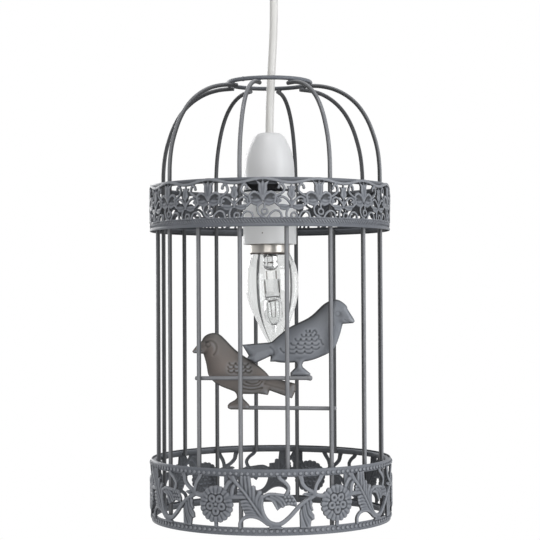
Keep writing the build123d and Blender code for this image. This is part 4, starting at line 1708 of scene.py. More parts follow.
    def bead_row(self, name: str, height: float, proud: float) -> None:
        """Sets a row of round beads along a rim.

        Args:
            name: Name of the piece.
            height: Height of their middles.
            proud: How far the rim stands out of the sheet.
        """
        paint = self.shop.palette.paint
        rows, columns = 4, 12
        foot = self.radius + proud - 0.86
        points = [around(foot + self.bead_rise, 0, height)]
        for r in range(1, rows + 1):
            a = 0.5 * math.pi * r / rows
            reach = foot + self.bead_rise * math.cos(a)
            for b in turns(columns):
                angle = math.degrees(self.bead_size * math.sin(a) * math.cos(b) / self.radius)
                points.append(around(reach, angle, height + self.bead_size * math.sin(a) * math.sin(b)))
        faces = [(0, 1 + c, 1 + (c + 1) % columns) for c in range(columns)]
        faces += [(a, d, c, b) for a, b, c, d in tube_faces(rows - 1, columns, 1)]
        bead = new_object(name, points, faces)
        # Painted highlight on each bead's top and painted shade round its foot
        set_recess(bead, [-1.0, *np.repeat((-0.9, -0.5, 0.3, 1.0), columns)])
        self.shop.repeat(bead, paint, self.beads)
        dress(bead, paint, Slot.CAGE, crease=80)


# Perches and birds


@dataclass
class Perches:
    """Two rods and two pressed birds, in mm."""

    shop: Workshop
    bar_circle: float = 75.1
    bar_radius: float = 1.4
    rod_radius: float = 1.3
    gap: float = 0.05
    breast_weld: float = 1.3
    skin: float = 1.2
    hollow: float = 2.1
    upper_height: float = 96.6
    lower_height: float = 77.4
    upper_bar: float = -37.0
    lower_bar: float = 30.5
    lower_heading: float = -10.95
    overhang: float = 1.5
    upper_end_gap: float = 11.9
    lower_length: float = 66.0
    pitch: float = 0.45

    def spot(self, angle: float) -> np.ndarray:
        """Place of a bar's axis seen from above."""
        a = math.radians(angle)
        return np.array((self.bar_circle * math.sin(a), -self.bar_circle * math.cos(a)))

    def upper_frame(self) -> tuple[np.ndarray, float]:
        """Origin and heading of the upper rod, at the bar that carries the right bird."""
        depth = self.bar_radius + self.gap + self.breast_weld - self.rod_radius - self.gap
        seat = self.bar_radius + self.rod_radius + self.gap
        chord = self.spot(self.lower_bar) - self.spot(self.upper_bar)
        turn = math.asin((depth - seat) / float(np.hypot(*chord)))
        heading = math.atan2(chord[1], chord[0]) + turn
        inward = np.array((-math.sin(heading), math.cos(heading)))
        return self.spot(self.lower_bar) + depth * inward, heading

    def lower_frame(self) -> tuple[np.ndarray, float]:
        """Origin and heading of the lower rod, at the bar that carries it."""
        heading = math.radians(self.lower_heading)
        inward = np.array((-math.sin(heading), math.cos(heading)))
        seat = self.bar_radius + self.rod_radius + self.gap
        return self.spot(self.lower_bar) + seat * inward, heading

    def placer(self, frame: tuple[np.ndarray, float], height: float, out: float) -> Place:
        """Gives the rule that puts a flat bird on its rod.

        Args:
            frame: Origin and heading of the rod.
            height: Height of the rod.
            out: How far the bird's front lies in front of the rod's axis.

        Returns:
            Function of along, up and out in mm.
        """
        origin, heading = frame
        along = np.array((math.cos(heading), math.sin(heading)))
        front = np.array((math.sin(heading), -math.cos(heading)))

        def place(u: float, v: float, h: float) -> Dot:
            """Point in metres."""
            x, y = origin + u * along + (h + out) * front
            return (x * MM, y * MM, level(height + v))

        return place

    def rod(
        self, name: str, frame: tuple[np.ndarray, float], height: float, ends: Point, knob: float, node: str
    ) -> None:
        """Draws one rod with rounded ends.

        Args:
            name: Name of the piece.
            frame: Its origin and heading.
            height: Its height.
            ends: Where it starts and ends along its heading.
            knob: How much thicker its far end is.
            node: The solid that it stands for.
        """
        place = self.placer(frame, height, 0.0)
        start, end = ends
        columns = 20
        rings = (
            (start, 0.55), (start + 0.25, 0.85), (start + 0.7, 1.0), (0.5 * (start + end), 1.0),
            (end - 4.0, 1.0), (end - 2.6, 1.0 + 0.5 * knob), (end - 1.7, 1.0 + knob), (end - 1.0, 1.0 + knob),
            (end - 0.45, 0.9 + 0.6 * knob), (end - 0.12, 0.7), (end, 0.4),
        )
        points = []
        for u, share in rings:
            for a in turns(columns):
                radius = share * self.rod_radius
                points.append(place(u, radius * math.sin(a), radius * math.cos(a)))
        spans = len(rings) - 1
        piece = new_object(name, points, end_faces(spans, columns) + tube_faces(spans, columns))
        weld_points(piece)
        dress(piece, self.shop.palette.bar_paint, Slot.CAGE, node, crease=45)

    def wing(
        self, sheet: Relief, rows: Sequence[tuple[float, float, float, int]], lines: Sequence[Sequence[Point]]
    ) -> None:
        """Sinks the scalloped feathers of a wing.

        Args:
            sheet: The bird's drawing.
            rows: Height, start, end and number of feathers of each row.
            lines: Longer feathers, each along its own arc.
        """
        arc = ((0.0, 1.2), (0.2, 0.1), (0.7, -0.1), (0.98, 1.0))
        for high, start, end, count in rows:
            wide = (end - start) / count
            for k in range(count):
                u = start + wide * k
                sheet.groove([(u + share * wide, high + rise) for share, rise in arc], 1.15, 0.4)
        for line in lines:
            sheet.groove(line, 1.15, 0.4)

    def right_bird(self) -> Piece:
        """Presses the upper bird, which looks to the right."""
        body = [
            (-39.4, 21.4), (-27.2, 31.4), (-13.6, 38.4), (-4.1, 46.8), (3.2, 49.4), (9.0, 46.2), (10.2, 42.6),
            (7.2, 33.4), (5.2, 26.4), (1.8, 18.6), (-4.8, 14.0), (-17.4, 10.2), (-36.4, 10.6),
        ]
        tail = [
            (-56.6, 21.0), (-52.4, 14.2), (-53.6, 12.3), (-48.2, 9.3), (-38.4, 13.8), (-38.8, 10.2),
            (-30.0, 10.2), (-31.0, 24.6), (-39.4, 22.4),
        ]
        leg = [
            (-25.0, 12.4), (-22.7, 9.8), (-22.1, 8.2), (-22.7, 6.6), (-26.0, 3.3), (-26.0, 0.9), (-13.6, 0.9),
            (-13.2, 2.6), (-18.2, 6.8), (-18.5, 8.2), (-17.8, 9.8), (-14.6, 12.4),
        ]
        beak = [
            (2.6, 36.0), (6.8, 33.9), (13.9, 34.4), (14.9, 35.4), (14.5, 36.8), (9.4, 45.0), (3.6, 45.6),
        ]
        rows = (
            (28.6, -15.8, -11.2, 2), (26.1, -18.6, -10.2, 3), (23.4, -22.6, -8.8, 4), (20.7, -25.4, -7.6, 4),
            (18.2, -27.0, -7.4, 4), (15.6, -27.0, -11.6, 3),
        )
        lines = (
            ((-32.1, 18.5), (-31.1, 16.9), (-29.8, 16.0)),
            (
                (-10.3, 30.0), (-9.3, 28.6), (-9.6, 27.2), (-8.0, 26.7), (-7.8, 24.6), (-6.5, 23.9),
                (-6.1, 22.4), (-5.1, 21.0),
            ),
        )
        sheet = Relief(-58.0, 16.4, -0.4, 50.6, self.pitch)
        sheet.area(tail, self.hollow + 0.2, 4.0)
        sheet.area(leg, self.hollow, 1.4)
        sheet.area(beak, self.hollow + 0.3, 3.0)
        self.puff(sheet, body, (-18.0, 22.0), 1.2)
        self.wing(sheet, rows, lines)
        sheet.groove([(-38.4, 19.4), (-36.4, 17.0), (-36.2, 14.6)], 1.6, 0.25)
        sheet.groove([(1.5, 40.9), (0.4, 37.1), (1.5, 33.2)], 1.6, 0.2)
        self.face(sheet, (4.2, 40.4), 1)
        place = self.placer(self.upper_frame(), self.upper_height, -1.35)
        return self.plate("right_bird_plate", sheet, place)

    def left_bird(self) -> Piece:
        """Presses the lower bird, which looks to the left."""
        body = [
            (-84.0, 38.4), (-83.4, 43.4), (-80.6, 46.4), (-76.0, 47.6), (-71.4, 46.0), (-60.9, 36.0),
            (-47.8, 27.3), (-39.6, 19.0), (-41.0, 10.4), (-56.5, 8.8), (-65.0, 11.2), (-73.8, 14.9),
            (-79.2, 20.2), (-81.0, 28.3),
        ]
        tail = [
            (-46.0, 21.0), (-23.3, 15.6), (-22.8, 12.0), (-25.5, 6.2), (-39.9, 11.2), (-41.0, 8.2),
            (-48.0, 9.2),
        ]
        leg = [
            (-63.0, 10.8), (-61.2, 8.6), (-60.9, 6.4), (-62.2, 5.0), (-65.8, 3.0), (-67.0, 1.7),
            (-67.0, -0.2), (-65.9, -0.9), (-52.8, -0.7), (-53.0, 1.8), (-57.0, 5.8), (-57.4, 7.8),
            (-56.8, 9.6), (-54.0, 10.8),
        ]
        beak = [
            (-77.0, 34.0), (-82.0, 34.2), (-89.2, 34.7), (-90.2, 35.8), (-87.4, 39.2), (-84.2, 42.3),
            (-79.0, 44.6), (-76.0, 42.0),
        ]
        rows = ((27.2, -65.2, -53.0, 3), (24.9, -66.0, -51.4, 4), (22.6, -65.8, -51.0, 4))
        lines = (
            ((-57.6, 15.7), (-53.7, 14.1), (-47.2, 14.1), (-44.3, 16.7)),
            ((-54.4, 16.5), (-51.1, 15.3), (-47.2, 15.9), (-45.6, 17.4)),
            ((-57.6, 12.5), (-51.1, 11.7), (-44.3, 12.9)),
        )
        cheek = [(-80.6, 41.8), (-77.4, 42.6), (-74.8, 41.3), (-73.6, 38.7), (-74.1, 35.8), (-75.4, 33.8)]
        sheet = Relief(-91.0, -21.6, -1.6, 48.6, self.pitch)
        sheet.area(tail, self.hollow, 4.0)
        sheet.area(leg, self.hollow - 0.9, 1.4)
        sheet.area(beak, self.hollow + 0.3, 3.0)
        self.puff(sheet, body, (-66.0, 24.0), 0.9)
        self.wing(sheet, rows, lines)
        sheet.groove(cheek, 1.5, 0.28)
        sheet.groove([(-42.6, 15.4), (-36.0, 13.6), (-28.6, 11.6)], 1.4, 0.2)
        self.face(sheet, (-79.2, 40.2), -1)
        place = self.placer(self.lower_frame(), self.lower_height, 3.35)
        return self.plate("left_bird_plate", sheet, place)

    def plate(self, name: str, sheet: Relief, place: Place) -> Piece:
        """Sinks a finished drawing back to its hollow and cuts the bird out.

        Args:
            name: Name of the piece.
            sheet: The bird's drawing.
            place: Rule that puts it on its rod.

        Returns:
            The bird.
        """
        sheet.height -= self.hollow
        sheet.base = -self.hollow
        return sheet.sheet(name, self.skin, 0.9, place)

    def puff(self, sheet: Relief, body: Sequence[Point], belly: Point, swell: float) -> None:
        """Presses the rounded body of a bird, with painted shade along its edge.

        Args:
            sheet: The bird's drawing.
            body: Points round its body.
            belly: Where it stands out most.
            swell: How much more it stands out there.
        """
        edge = sheet.area(through([*body, body[0]], 8)[:-1], self.hollow + 0.9, 11.0)
        far = ((sheet.u - belly[0]) / 16.0) ** 2 + ((sheet.v - belly[1]) / 9.0) ** 2
        sheet.height += np.where(edge < 0, swell * np.exp(-far), 0.0)
        sheet.soften(8)
        # Painted shade along the body's edge, strongest where the edge faces up and to the drawing's left
        near, wide = np.exp(-((sheet.edge / 3.0) ** 2)), np.exp(-((sheet.edge / 9.0) ** 2))
        upward, along = np.gradient(sheet.edge, self.pitch)
        turned = 0.5 + 0.5 * np.clip(0.6 * upward - 0.8 * along, -1, 1)
        sheet.painted_shade += np.where(sheet.edge < 0, turned * (0.6 * near + 0.4 * wide), 0.0)

    def face(self, sheet: Relief, eye: Point, side: int) -> None:
        """Sinks an eye ring and the line of the beak.

        Args:
            sheet: The bird's drawing.
            eye: Middle of the eye.
            side: 1 where the bird looks right, -1 where it looks left.
        """
        u, v = eye
        angles = np.linspace(0, 2 * math.pi, 13)
        sheet.groove([(u + 1.5 * math.cos(a), v + 1.5 * math.sin(a)) for a in angles], 1.1, 0.17)
        mouth = ((4.2, 3.6), (7.0, 5.2), (9.6, 6.4))
        sheet.groove([(u + side * along, v - drop) for along, drop in mouth], 0.7, 0.25)

    def build(self) -> None:
        """Places the rods and the birds."""
        upper = self.upper_frame()
        lower = self.lower_frame()
        along = np.array((math.cos(upper[1]), math.sin(upper[1])))
        start = float((self.spot(self.upper_bar) - upper[0]) @ along)
        ends = (start - self.bar_radius - self.overhang, -self.upper_end_gap)
        self.rod("upper_rod", upper, self.upper_height, ends, 0.28, "upper_perch")
        ends = (-self.lower_length, self.bar_radius + self.overhang)
        self.rod("lower_rod", lower, self.lower_height, ends, 0.0, "lower_perch")
        palette = self.shop.palette
        for piece, node, paint in (
            (self.right_bird(), "right_bird", palette.right_bird),
            (self.left_bird(), "left_bird", palette.left_bird),
        ):
            dress(piece, paint, Slot.CAGE, node, crease=60)


# Pendant set


@dataclass
class Pendant:
    """Lampholder, shade ring, flex and ceiling rose, in mm."""

    shop: Workshop
    strap_top: float = 219.35
    cap_base: float = 221.85
    cap_top: float = 257.85
    cap_radius: float = 16.9
    tube_radius: float = 14.25
    skirt_radius: float = 17.9
    skirt_bottom: float = 183.0
    flex_radius: float = 2.75
    flex_play: float = 0.15
    flex_bow: float = 4.6
    rose_radius: float = 40.0
    rose_depth: float = 33.0
    rose_neck: float = 9.0

    def build_holder(self) -> None:
        """Turns the holder's cap and its skirted ring, with a dark dot on the skirt."""
        palette = self.shop.palette
        hole = self.flex_radius + self.flex_play
        shares = (
            (1.0, 0.0), (1.0, 0.08), (0.998, 0.16), (0.993, 0.26), (0.984, 0.36), (0.968, 0.45), (0.94, 0.54),
            (0.895, 0.63), (0.83, 0.715), (0.75, 0.80), (0.665, 0.88), (0.585, 0.935), (0.485, 0.975),
            (0.40, 0.995),
        )
        top = self.cap_top
        tall = top - self.cap_base
        outline = [(0.0, self.cap_base), (self.cap_radius - 0.5, self.cap_base)]
        outline += [(self.cap_radius * r, self.cap_base + tall * h) for r, h in shares]
        outline += [(hole + 1.6, top), (hole + 0.5, top - 0.1), (hole, top - 0.7)]
        outline += [(hole, top - 9.0), (0.0, top - 9.05)]
        cap = lathe("holder_cap_dome", outline, 128)
        dress(cap, palette.holder, Slot.HOLDER, "holder_cap", crease=40)
        foot = self.skirt_bottom
        top = self.strap_top - 1.4
        inner = self.tube_radius + 0.1
        socket = inner + 1.6
        corners = [
            (socket, foot + 0.2), (self.skirt_radius - 0.1, foot), (self.skirt_radius, top), (inner, top),
            (inner, foot + 14.0), (socket, foot + 12.0),
        ]
        outline = softened(corners + corners[:1], 0.7, 4)
        ring = lathe("shade_ring_skirt", outline[1:-1], 128, closed=True)
        # The ring's whiter plastic is painted light
        dress(ring, palette.shade_ring, Slot.HOLDER, "shade_ring", crease=40)
        dot = lump("shade_ring_dot", around(self.skirt_radius - 0.05, -15.9, 190.2), (0.45, 0.12, 0.4))
        dress(dot, palette.cement, Slot.HOLDER)

    def build_body(self, body: Piece) -> None:
        """Smooths the holder's body, with its bayonet slots."""
        tube = copy_solid(body, "holder_body_tube")
        dress(tube, self.shop.palette.holder, Slot.HOLDER, "holder_body", crease=30)

    def build_flex(self) -> None:
        """Hangs the flex on one smooth line from the holder to the rose."""
        rose = CEILING - self.rose_depth
        middle = 0.45 * self.cap_top + 0.55 * (rose + 16.0)
        route = (
            (0.0, self.cap_top - 9.0), (0.0, self.cap_top + 16.0), (self.flex_bow, middle), (0.0, rose - 3.0),
            (0.0, CEILING - 14.0),
        )
        flex = curve_piece("flex_cable", [(x * MM, 0.0, level(h)) for x, h in route], "NURBS")
        spline = flex.data.splines[0]
        spline.order_u = 3
        spline.use_endpoint_u = True
        spline.resolution_u = 16
        flex.data.bevel_depth = self.flex_radius * MM
        flex.data.bevel_resolution = 6
        flex.data.use_fill_caps = True
        dress(flex, self.shop.palette.flex, Slot.FLEX, "flex")
        level(self.cap_top)

    def build_rose(self, base: Piece) -> None:
        """Turns the rose's cover and smooths its base.

        Args:
            base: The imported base.
        """
        white = self.shop.palette.rose
        top = CEILING - 0.4
        foot = CEILING - self.rose_depth
        hole = self.flex_radius + self.flex_play
        neck, outer = self.rose_neck, self.rose_radius
        inner = outer - 2.0
        bowl = [
            (neck, foot + 0.1), (outer - 14.0, foot + 4.2), (outer - 4.6, foot + 11.4),
            (outer - 0.3, top - 11.4),
        ]
        outside = [(hole, foot + 0.5), (hole + 0.5, foot), (neck - 0.6, foot)]
        outside += [(float(r), float(h)) for r, h in through(bowl, 8)]
        outside += [(outer, top - 10.6), (outer, top - 0.6), (outer - 0.4, top)]
        inside = [
            (inner, top), (inner, top - 11.0), (inner - 4.0, foot + 13.4), (inner - 14.0, foot + 6.2),
            (neck + 1.0, foot + 2.2), (hole, foot + 2.0),
        ]
        cover = lathe("rose_cover_bowl", outside + inside, 128, closed=True)
        dress(cover, white, Slot.ROSE, "rose_cover", crease=35)
        plate = copy_solid(base, "rose_base_plate")
        dress(plate, white, Slot.ROSE, "rose_base", crease=30)


@dataclass
class Lamp:
    """Bayonet lamp with a candle glass and an inner capsule, in mm."""

    shop: Workshop
    skirt_bottom: float = 177.3
    skirt_top: float = 182.9
    skirt_radius: float = 13.4
    shell_radius: float = 11.0
    shell_top: float = 206.0
    pin_height: float = 199.5
    contact_offset: float = 4.2
    glass_radius: float = 17.9
    glass_length: float = 63.9
    glass_wall: float = 0.8
    capsule_radius: float = 6.1
    capsule_top: float = 146.3
    capsule_bottom: float = 129.5
    pinch_top: float = 159.7
    stem_bottom: float = 165.4
    pinch_width: float = 10.6
    pinch_thickness: float = 3.4
    lead_gap: float = 6.4
    filament_drop: float = 11.5
    coil_turns: int = 16
    coil_radius: float = 0.3
    coil_wire: float = 0.13
    lean: float = 3.0
    pivot: float = 180.0

    def hang(self, piece: Piece, crease: float, material: Material, slot: Slot, *nodes: str) -> None:
        """Shades a piece, leans it if the crooked glass holds it, and dresses it.

        Args:
            piece: The piece, made upright.
            crease: Angle past which its edges stay sharp.
            material: Its finish.
            slot: The record's slot for that finish.
            nodes: Solids that it stands for.
        """
        shade(piece, crease)
        if slot is not Slot.LAMP_METAL:
            middle = Matrix.Translation((0.0, 0.0, level(self.pivot)))
            turn = Matrix.Rotation(-math.radians(self.lean), 4, "Y")
            piece.data.transform(middle @ turn @ middle.inverted())
        dress(piece, material, slot, *nodes)

    def build_cap(self) -> None:
        """Turns the metal cap and its cement line, and sets its pins and contacts."""
        palette = self.shop.palette
        foot, floor = self.skirt_bottom, self.skirt_top - 1.0
        seat = self.skirt_radius - 0.6
        corners = [
            (seat, foot), (self.skirt_radius, foot), (self.skirt_radius, self.skirt_top),
            (self.shell_radius, self.skirt_top + 1.6), (self.shell_radius, self.shell_top - 2.0),
            (8.6, self.shell_top), (0.0, self.shell_top),
        ]
        cap = lathe("lamp_cap_shell", [(0.0, floor), (seat, floor)] + softened(corners, 0.5, 3), 128)
        self.hang(cap, 40, palette.lamp_metal, Slot.LAMP_METAL, "lamp_cap")
        line = [(12.7, foot - 0.9), (13.2, foot - 0.8), (13.35, foot - 0.1), (12.7, foot + 0.2)]
        cement = lathe("lamp_cement_line", line, 96, closed=True)
        self.hang(cement, 50, palette.cement, Slot.LAMP_METAL)
        for side, name in ((-1, "left"), (1, "right")):
            start, end = [(side * reach, 0.0, self.pin_height) for reach in (10.8, 13.0)]
            self.post(f"lamp_pin_{name}", start, end, 1.0, palette.lamp_metal, Slot.LAMP_METAL)
            start, end = [(side * self.contact_offset, 0.0, height) for height in (205.9, 207.4)]
            self.post(f"lamp_contact_{name}", start, end, 1.65, palette.solder, Slot.LAMP_METAL)

    def post(
        self, name: str, start: Dot, end: Dot, radius: float, material: Material, slot: Slot,
        *nodes: str,
    ) -> None:
        """Draws a short round post with softened ends.

        Args:
            name: Name of the piece.
            start: Middle of its first end, in mm with heights above the cage's foot.
            end: Middle of its other end.
            radius: Its radius.
            material: Its finish.
            slot: The record's slot for that finish.
            nodes: Solids that it stands for.
        """
        a, b = Vector(start), Vector(end)
        axis = (b - a).normalized()
        across = axis.orthogonal().normalized()
        other = axis.cross(across)
        length = (b - a).length
        soft = min(0.3 * radius, 0.2 * length)
        columns = 16
        points = []
        rings = ((0.0, radius - soft), (soft, radius), (length - soft, radius), (length, radius - soft))
        for along, reach in rings:
            for t in turns(columns):
                spot = a + axis * along + (across * math.cos(t) + other * math.sin(t)) * reach
                points.append((spot.x * MM, spot.y * MM, level(spot.z)))
        spans = len(rings) - 1
        piece = new_object(name, points, end_faces(spans, columns) + tube_faces(spans, columns))
        self.hang(piece, 40, material, slot, *nodes)

    def build_glass(self) -> None:
        """Blows the candle glass with an even wall."""
        candle = [
            (0.703, 0.0), (0.79, 0.045), (0.88, 0.10), (0.945, 0.16), (0.982, 0.225), (1.0, 0.315),
            (0.982, 0.40), (0.945, 0.46), (0.89, 0.525), (0.81, 0.595), (0.70, 0.67), (0.585, 0.745),
            (0.47, 0.82), (0.375, 0.88), (0.275, 0.935), (0.19, 0.968), (0.10, 0.99), (0.0, 1.0),
        ]
        outer = [(self.glass_radius * r, self.skirt_bottom - self.glass_length * h) for r, h in candle]
        outer = [(float(r), float(h)) for r, h in through(outer, 4)]
        outer[-1] = (0.0, outer[-1][1])
        neck = self.skirt_bottom + 3.0
        inner = []
        for k, spot in enumerate(outer):
            run = np.subtract(outer[min(k + 1, len(outer) - 1)], outer[max(k - 1, 0)])
            away = np.array((run[1], -run[0])) / max(np.hypot(*run), 1e-9)
            r, h = np.array(spot) + self.glass_wall * away
            inner.append((max(float(r), 0.0), float(h)))
        inner = [p for p in inner if p[0] > 0.25] + [(0.0, outer[-1][1] + 1.3)]
        outline = outer[::-1] + [(outer[0][0], neck), (outer[0][0] - self.glass_wall, neck)] + inner
        glass = lathe("candle_glass", outline, 128)
        self.hang(glass, 60, self.shop.palette.candle, Slot.LAMP_GLASS, "lamp_envelope")

    def build_inside(self) -> None:
        """Makes the stem, the leads, the capsule and its filament."""
        palette = self.shop.palette
        low, top = self.stem_bottom, self.skirt_top - 1.05
        stem = [
            (0.0, low), (1.6, low + 0.2), (3.2, low + 0.9), (4.4, low + 2.1), (5.0, low + 3.7),
            (5.0, low + 5.4), (4.7, low + 7.2), (5.0, top - 4.8), (6.6, top - 1.8), (9.0, top), (0.0, top),
        ]
        piece = lathe("lamp_glass_stem", stem, 64)
        self.hang(piece, 60, palette.capsule, Slot.CAPSULE, "lamp_stem")
        pinch = self.pinch_top
        for side, node in ((-1, "lamp_lead_1"), (1, "lamp_lead_2")):
            u = side * self.lead_gap / 2
            ends = [(u, 0.0, pinch + 0.05), (u, 0.0, low - 0.05)]
            self.post(f"{node}_wire", *ends, 0.4, palette.wire, Slot.LEAD, node)
            u += side * 1.3
            ends = [(u, 0.0, pinch - 9.4), (u, 0.0, pinch - 1.2)]
            self.post(f"{node}_foil", *ends, 0.42, palette.wire, Slot.LEAD)
        bar = self.capsule_top - 1.2
        ends = [(-3.1, 0.0, bar - 0.2), (3.0, 0.0, bar + 0.5)]
        self.post("lamp_filament_bar", *ends, 0.3, palette.wire, Slot.LEAD)
        self.capsule()
        self.filament()
        self.solder_dots()

    def solder_dots(self) -> None:
        """Sets the dark dots of solder in the stem's glass."""
        points = []
        rows, columns = 4, 8
        for r in range(rows + 1):
            a = math.pi * r / rows
            for b in turns(columns):
                reach = 3.9 + 0.6 * math.sin(a) * math.cos(b)
                x, y, z = around(reach, 0, self.stem_bottom + 5.4 + 0.5 * math.cos(a))
                points.append((x + 0.7 * math.sin(a) * math.sin(b) * MM, y, z))
        dots = new_object("lamp_solder_dots", points, tube_faces(rows, columns))
        weld_points(dots)
        wire = self.shop.palette.wire
        self.shop.repeat(dots, wire, 9, 0.3)
        self.hang(dots, 80, wire, Slot.LEAD)

    def capsule(self) -> None:
        """Blows the inner capsule with its tip below, and presses the pinch above it."""
        glass = self.shop.palette.capsule
        low, top, out = self.capsule_bottom, self.capsule_top, self.capsule_radius
        outer = [
            (0.0, low - 5.4), (0.95, low - 4.9), (1.25, low - 2.4), (2.1, low + 0.1), (4.5, low + 1.9),
            (out, low + 5.2), (out, top - 2.4), (out - 0.7, top),
        ]
        shell = [(float(max(r, 0.0)), float(h)) for r, h in through(outer, 5)]
        inside = out - self.glass_wall
        roof = [(0.6, top), (0.6, top - 0.8)]
        hollow = [
            (inside - 0.7, top - 0.8), (inside, top - 2.4), (inside, low + 5.2), (0.74 * inside, low + 2.6),
            (0.33 * inside, low + 0.9), (0.0, low + 0.8),
        ]
        piece = lathe("lamp_capsule_glass", shell + roof + hollow, 64)
        weld_points(piece)
        self.hang(piece, 50, glass, Slot.CAPSULE, "lamp_capsule")
        wide, thick = self.pinch_width / 2, self.pinch_thickness / 2
        rings = (
            (top - 0.2, 1.02, 1.9), (top + 1.2, 1.0, 1.0), (self.pinch_top - 0.6, 1.0, 1.0),
            (self.pinch_top, 0.94, 0.7),
        )
        columns = 20
        points = []
        for h, a, b in rings:
            for t in turns(columns):
                x = wide * a * math.copysign(abs(math.cos(t)) ** 0.5, math.cos(t))
                y = thick * b * math.copysign(abs(math.sin(t)) ** 0.7, math.sin(t))
                points.append((x * MM, y * MM, level(h)))
        spans = len(rings) - 1
        faces = tube_faces(spans, columns) + end_faces(spans, columns)
        pinch = new_object("lamp_capsule_pinch", points, faces)
        self.hang(pinch, 50, glass, Slot.CAPSULE)

    def filament(self) -> None:
        """Winds the filament between its two posts."""
        top = self.capsule_top - 0.85
        reach = self.lead_gap / 2
        foot = top - self.filament_drop
        path = [(-reach, 0.0, top), (-reach, 0.0, top - 0.5), (-0.55 * reach, 0.0, top - 0.8)]
        steps = self.coil_turns * 8
        for side, start, end in ((-1, top - 1.0, foot + 0.6), (1, foot + 0.6, top - 0.7)):
            for k in range(steps + 1):
                t = k / steps
                a = 2 * math.pi * self.coil_turns * t
                along = side * (0.5 - 0.12 * (t if side < 0 else 1 - t)) * reach
                x = along + self.coil_radius * math.sin(a)
                y = self.coil_radius * math.cos(a) - self.coil_radius
                path.append((x, y, start + (end - start) * t))
            if side < 0:
                path += [(-0.3 * reach, 0.0, foot), (0.3 * reach, 0.0, foot)]
        path += [(0.55 * reach, 0.0, top - 0.6), (reach, 0.0, top - 0.3), (reach, 0.0, top)]
        wire = self.shop.palette.wire
        spots = [(x * MM, y * MM, level(z)) for x, y, z in path]
        coil = self.shop.wire("lamp_filament_coil", spots, self.coil_wire, wire)
        self.hang(coil, 60, wire, Slot.LEAD, "lamp_filament")


# Stage


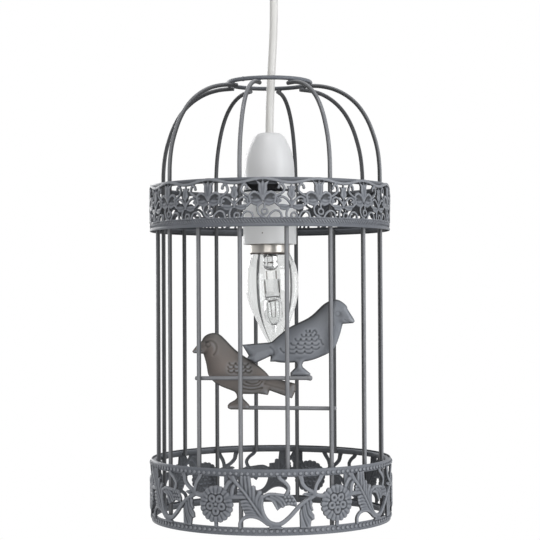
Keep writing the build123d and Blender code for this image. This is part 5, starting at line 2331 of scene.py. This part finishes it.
@dataclass
class Studio:
    """White surround, floor, soft lamps and the camera."""

    focal: float = 103.0
    eye: Dot = (0.0, -1.037, -0.2902)
    pitch: float = 1.0
    roll: float = -0.3
    floor: float = -0.76
    floor_radius: float = 1.5

    def surround(self) -> None:
        """Lights the scene softly and shows white behind the object."""
        scene = bpy.context.scene
        scene.view_settings.view_transform = "Standard"
        world = bpy.data.worlds.new("white_surround")
        scene.world = world
        world.use_nodes = True
        build = Shader(world.node_tree)
        path = build.add("ShaderNodeLightPath").outputs
        seen = build.sum("MAXIMUM", path["Is Camera Ray"], path["Is Transmission Ray"])
        way = build.add("ShaderNodeSeparateXYZ", Vector=build.add("ShaderNodeTexCoord").outputs["Generated"])
        above = build.span(way.outputs[2], (-0.5, 0.8), (0.02, 0.43))
        behind = build.span(way.outputs[1], (-0.75, 0.1), (0.25, 1.0))
        soft = build.add("ShaderNodeBackground", Color=(0.94, 0.97, 1.0), Strength=above)
        mirrored = build.add("ShaderNodeBackground", Color=WHITE, Strength=behind)
        white = build.add("ShaderNodeBackground", Color=WHITE, Strength=1.0)
        both = build.mix(seen, build.mix(path["Is Glossy Ray"], soft, mirrored), white)
        build.add("ShaderNodeOutputWorld", Surface=both.outputs[0])

    def lamp(self, name: str, spot: Dot, aim: Dot, size: Point, power: float, colour: Colour) -> None:
        """Hangs one soft lamp.

        Args:
            name: Its name.
            spot: Its place.
            aim: What it points at.
            size: Width and height of its face.
            power: Its power in watts.
            colour: Its colour.
        """
        light = bpy.data.lights.new(name, "AREA")
        light.shape = "RECTANGLE"
        light.size, light.size_y = size
        light.energy = power
        light.color = colour
        lamp = add_object(name, light)
        lamp.location = spot
        lamp.rotation_mode = "QUATERNION"
        lamp.rotation_quaternion = (Vector(aim) - Vector(spot)).to_track_quat("-Z", "Y")

    def lamps(self) -> None:
        """Hangs the lamps: a strong one on the right, weaker ones in front, above and behind."""
        aim = (0.0, 0.0, -0.30)
        self.lamp("right_softbox", (1.1, -0.78, 0.0), aim, (0.7, 1.1), 11.4, (0.97, 0.985, 1.0))
        self.lamp("front_fill", (-0.3, -1.6, -0.1), aim, (1.2, 1.2), 8.8, (1.0, 0.985, 0.965))
        self.lamp("top_softbox", (-0.1, -0.6, 1.1), aim, (0.6, 0.6), 7.9, WHITE)
        self.lamp("rear_softbox", (-0.8, 1.3, 0.1), aim, (0.8, 1.0), 7.9, WHITE)

    def ground(self) -> None:
        """Lays a pale floor that fades into the white surround and is clear from below."""
        points = [(0.0, 0.0, self.floor)]
        faces = []
        columns = 64
        for c, a in enumerate(turns(columns)):
            points.append((self.floor_radius * math.cos(a), self.floor_radius * math.sin(a), self.floor))
            faces.append((0, 1 + c, 1 + (c + 1) % columns))
        floor = new_object("pale_floor", points, faces)
        material = bpy.data.materials.new("pale_floor")
        material.use_nodes = True
        build = Shader(material.node_tree)
        spot = build.add("ShaderNodeTexCoord").outputs["Object"]
        fade = build.span(build.vector("LENGTH", spot).outputs["Value"], (0.9, 1.6))
        path = build.add("ShaderNodeLightPath").outputs
        seen = build.sum("MAXIMUM", path["Is Camera Ray"], path["Is Transmission Ray"])
        seen = build.sum("MAXIMUM", seen, path["Is Glossy Ray"])
        matt = build.add("ShaderNodeBsdfDiffuse", Color=(0.88, 0.88, 0.88))
        glow = build.add("ShaderNodeEmission", Strength=1.0)
        both = build.mix(build.sum("MULTIPLY", seen, fade), matt, glow)
        below = build.add("ShaderNodeNewGeometry").outputs["Backfacing"]
        clear = build.mix(below, both, build.add("ShaderNodeBsdfTransparent"))
        build.add("ShaderNodeOutputMaterial", Surface=clear.outputs[0])
        floor.data.materials.append(material)

    def camera(self) -> None:
        """Sets the camera where the photograph was taken."""
        lens = bpy.data.cameras.new("photo_camera")
        lens.sensor_width = 36.0
        lens.lens = self.focal
        camera = add_object("photo_camera", lens)
        tilt = Matrix.Rotation(math.radians(90.0 + self.pitch), 4, "X")
        twist = Matrix.Rotation(math.radians(self.roll), 4, "Z")
        camera.matrix_world = Matrix.Translation(self.eye) @ tilt @ twist
        bpy.context.scene.camera = camera

    def build(self) -> None:
        """Sets up the surround, the lamps, the floor and the camera."""
        self.surround()
        self.lamps()
        self.ground()
        self.camera()


def main() -> None:
    """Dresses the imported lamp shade."""
    logging.basicConfig(level=logging.INFO, format="%(message)s")
    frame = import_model()
    nodes = frame["nodes"]
    shop = Workshop(Palette(), copies_tree(), wire_tree(), wrap_tree())
    Studio().build()
    pendant = Pendant(shop)
    pendant.build_flex()
    pendant.build_holder()
    pendant.build_body(nodes["holder_body"])
    pendant.build_rose(nodes["rose_base"])
    cage = Cage(shop)
    cage.build_bars()
    cage.build_hoops()
    cage.build_ring()
    cage.build_welds()
    cage.build_strap(nodes["fitter_strap"])
    UpperBand(shop).build()
    LowerBand(shop).build()
    Perches(shop).build()
    lamp = Lamp(shop)
    lamp.build_cap()
    lamp.build_glass()
    lamp.build_inside()


if __name__ == "__main__":
    main()
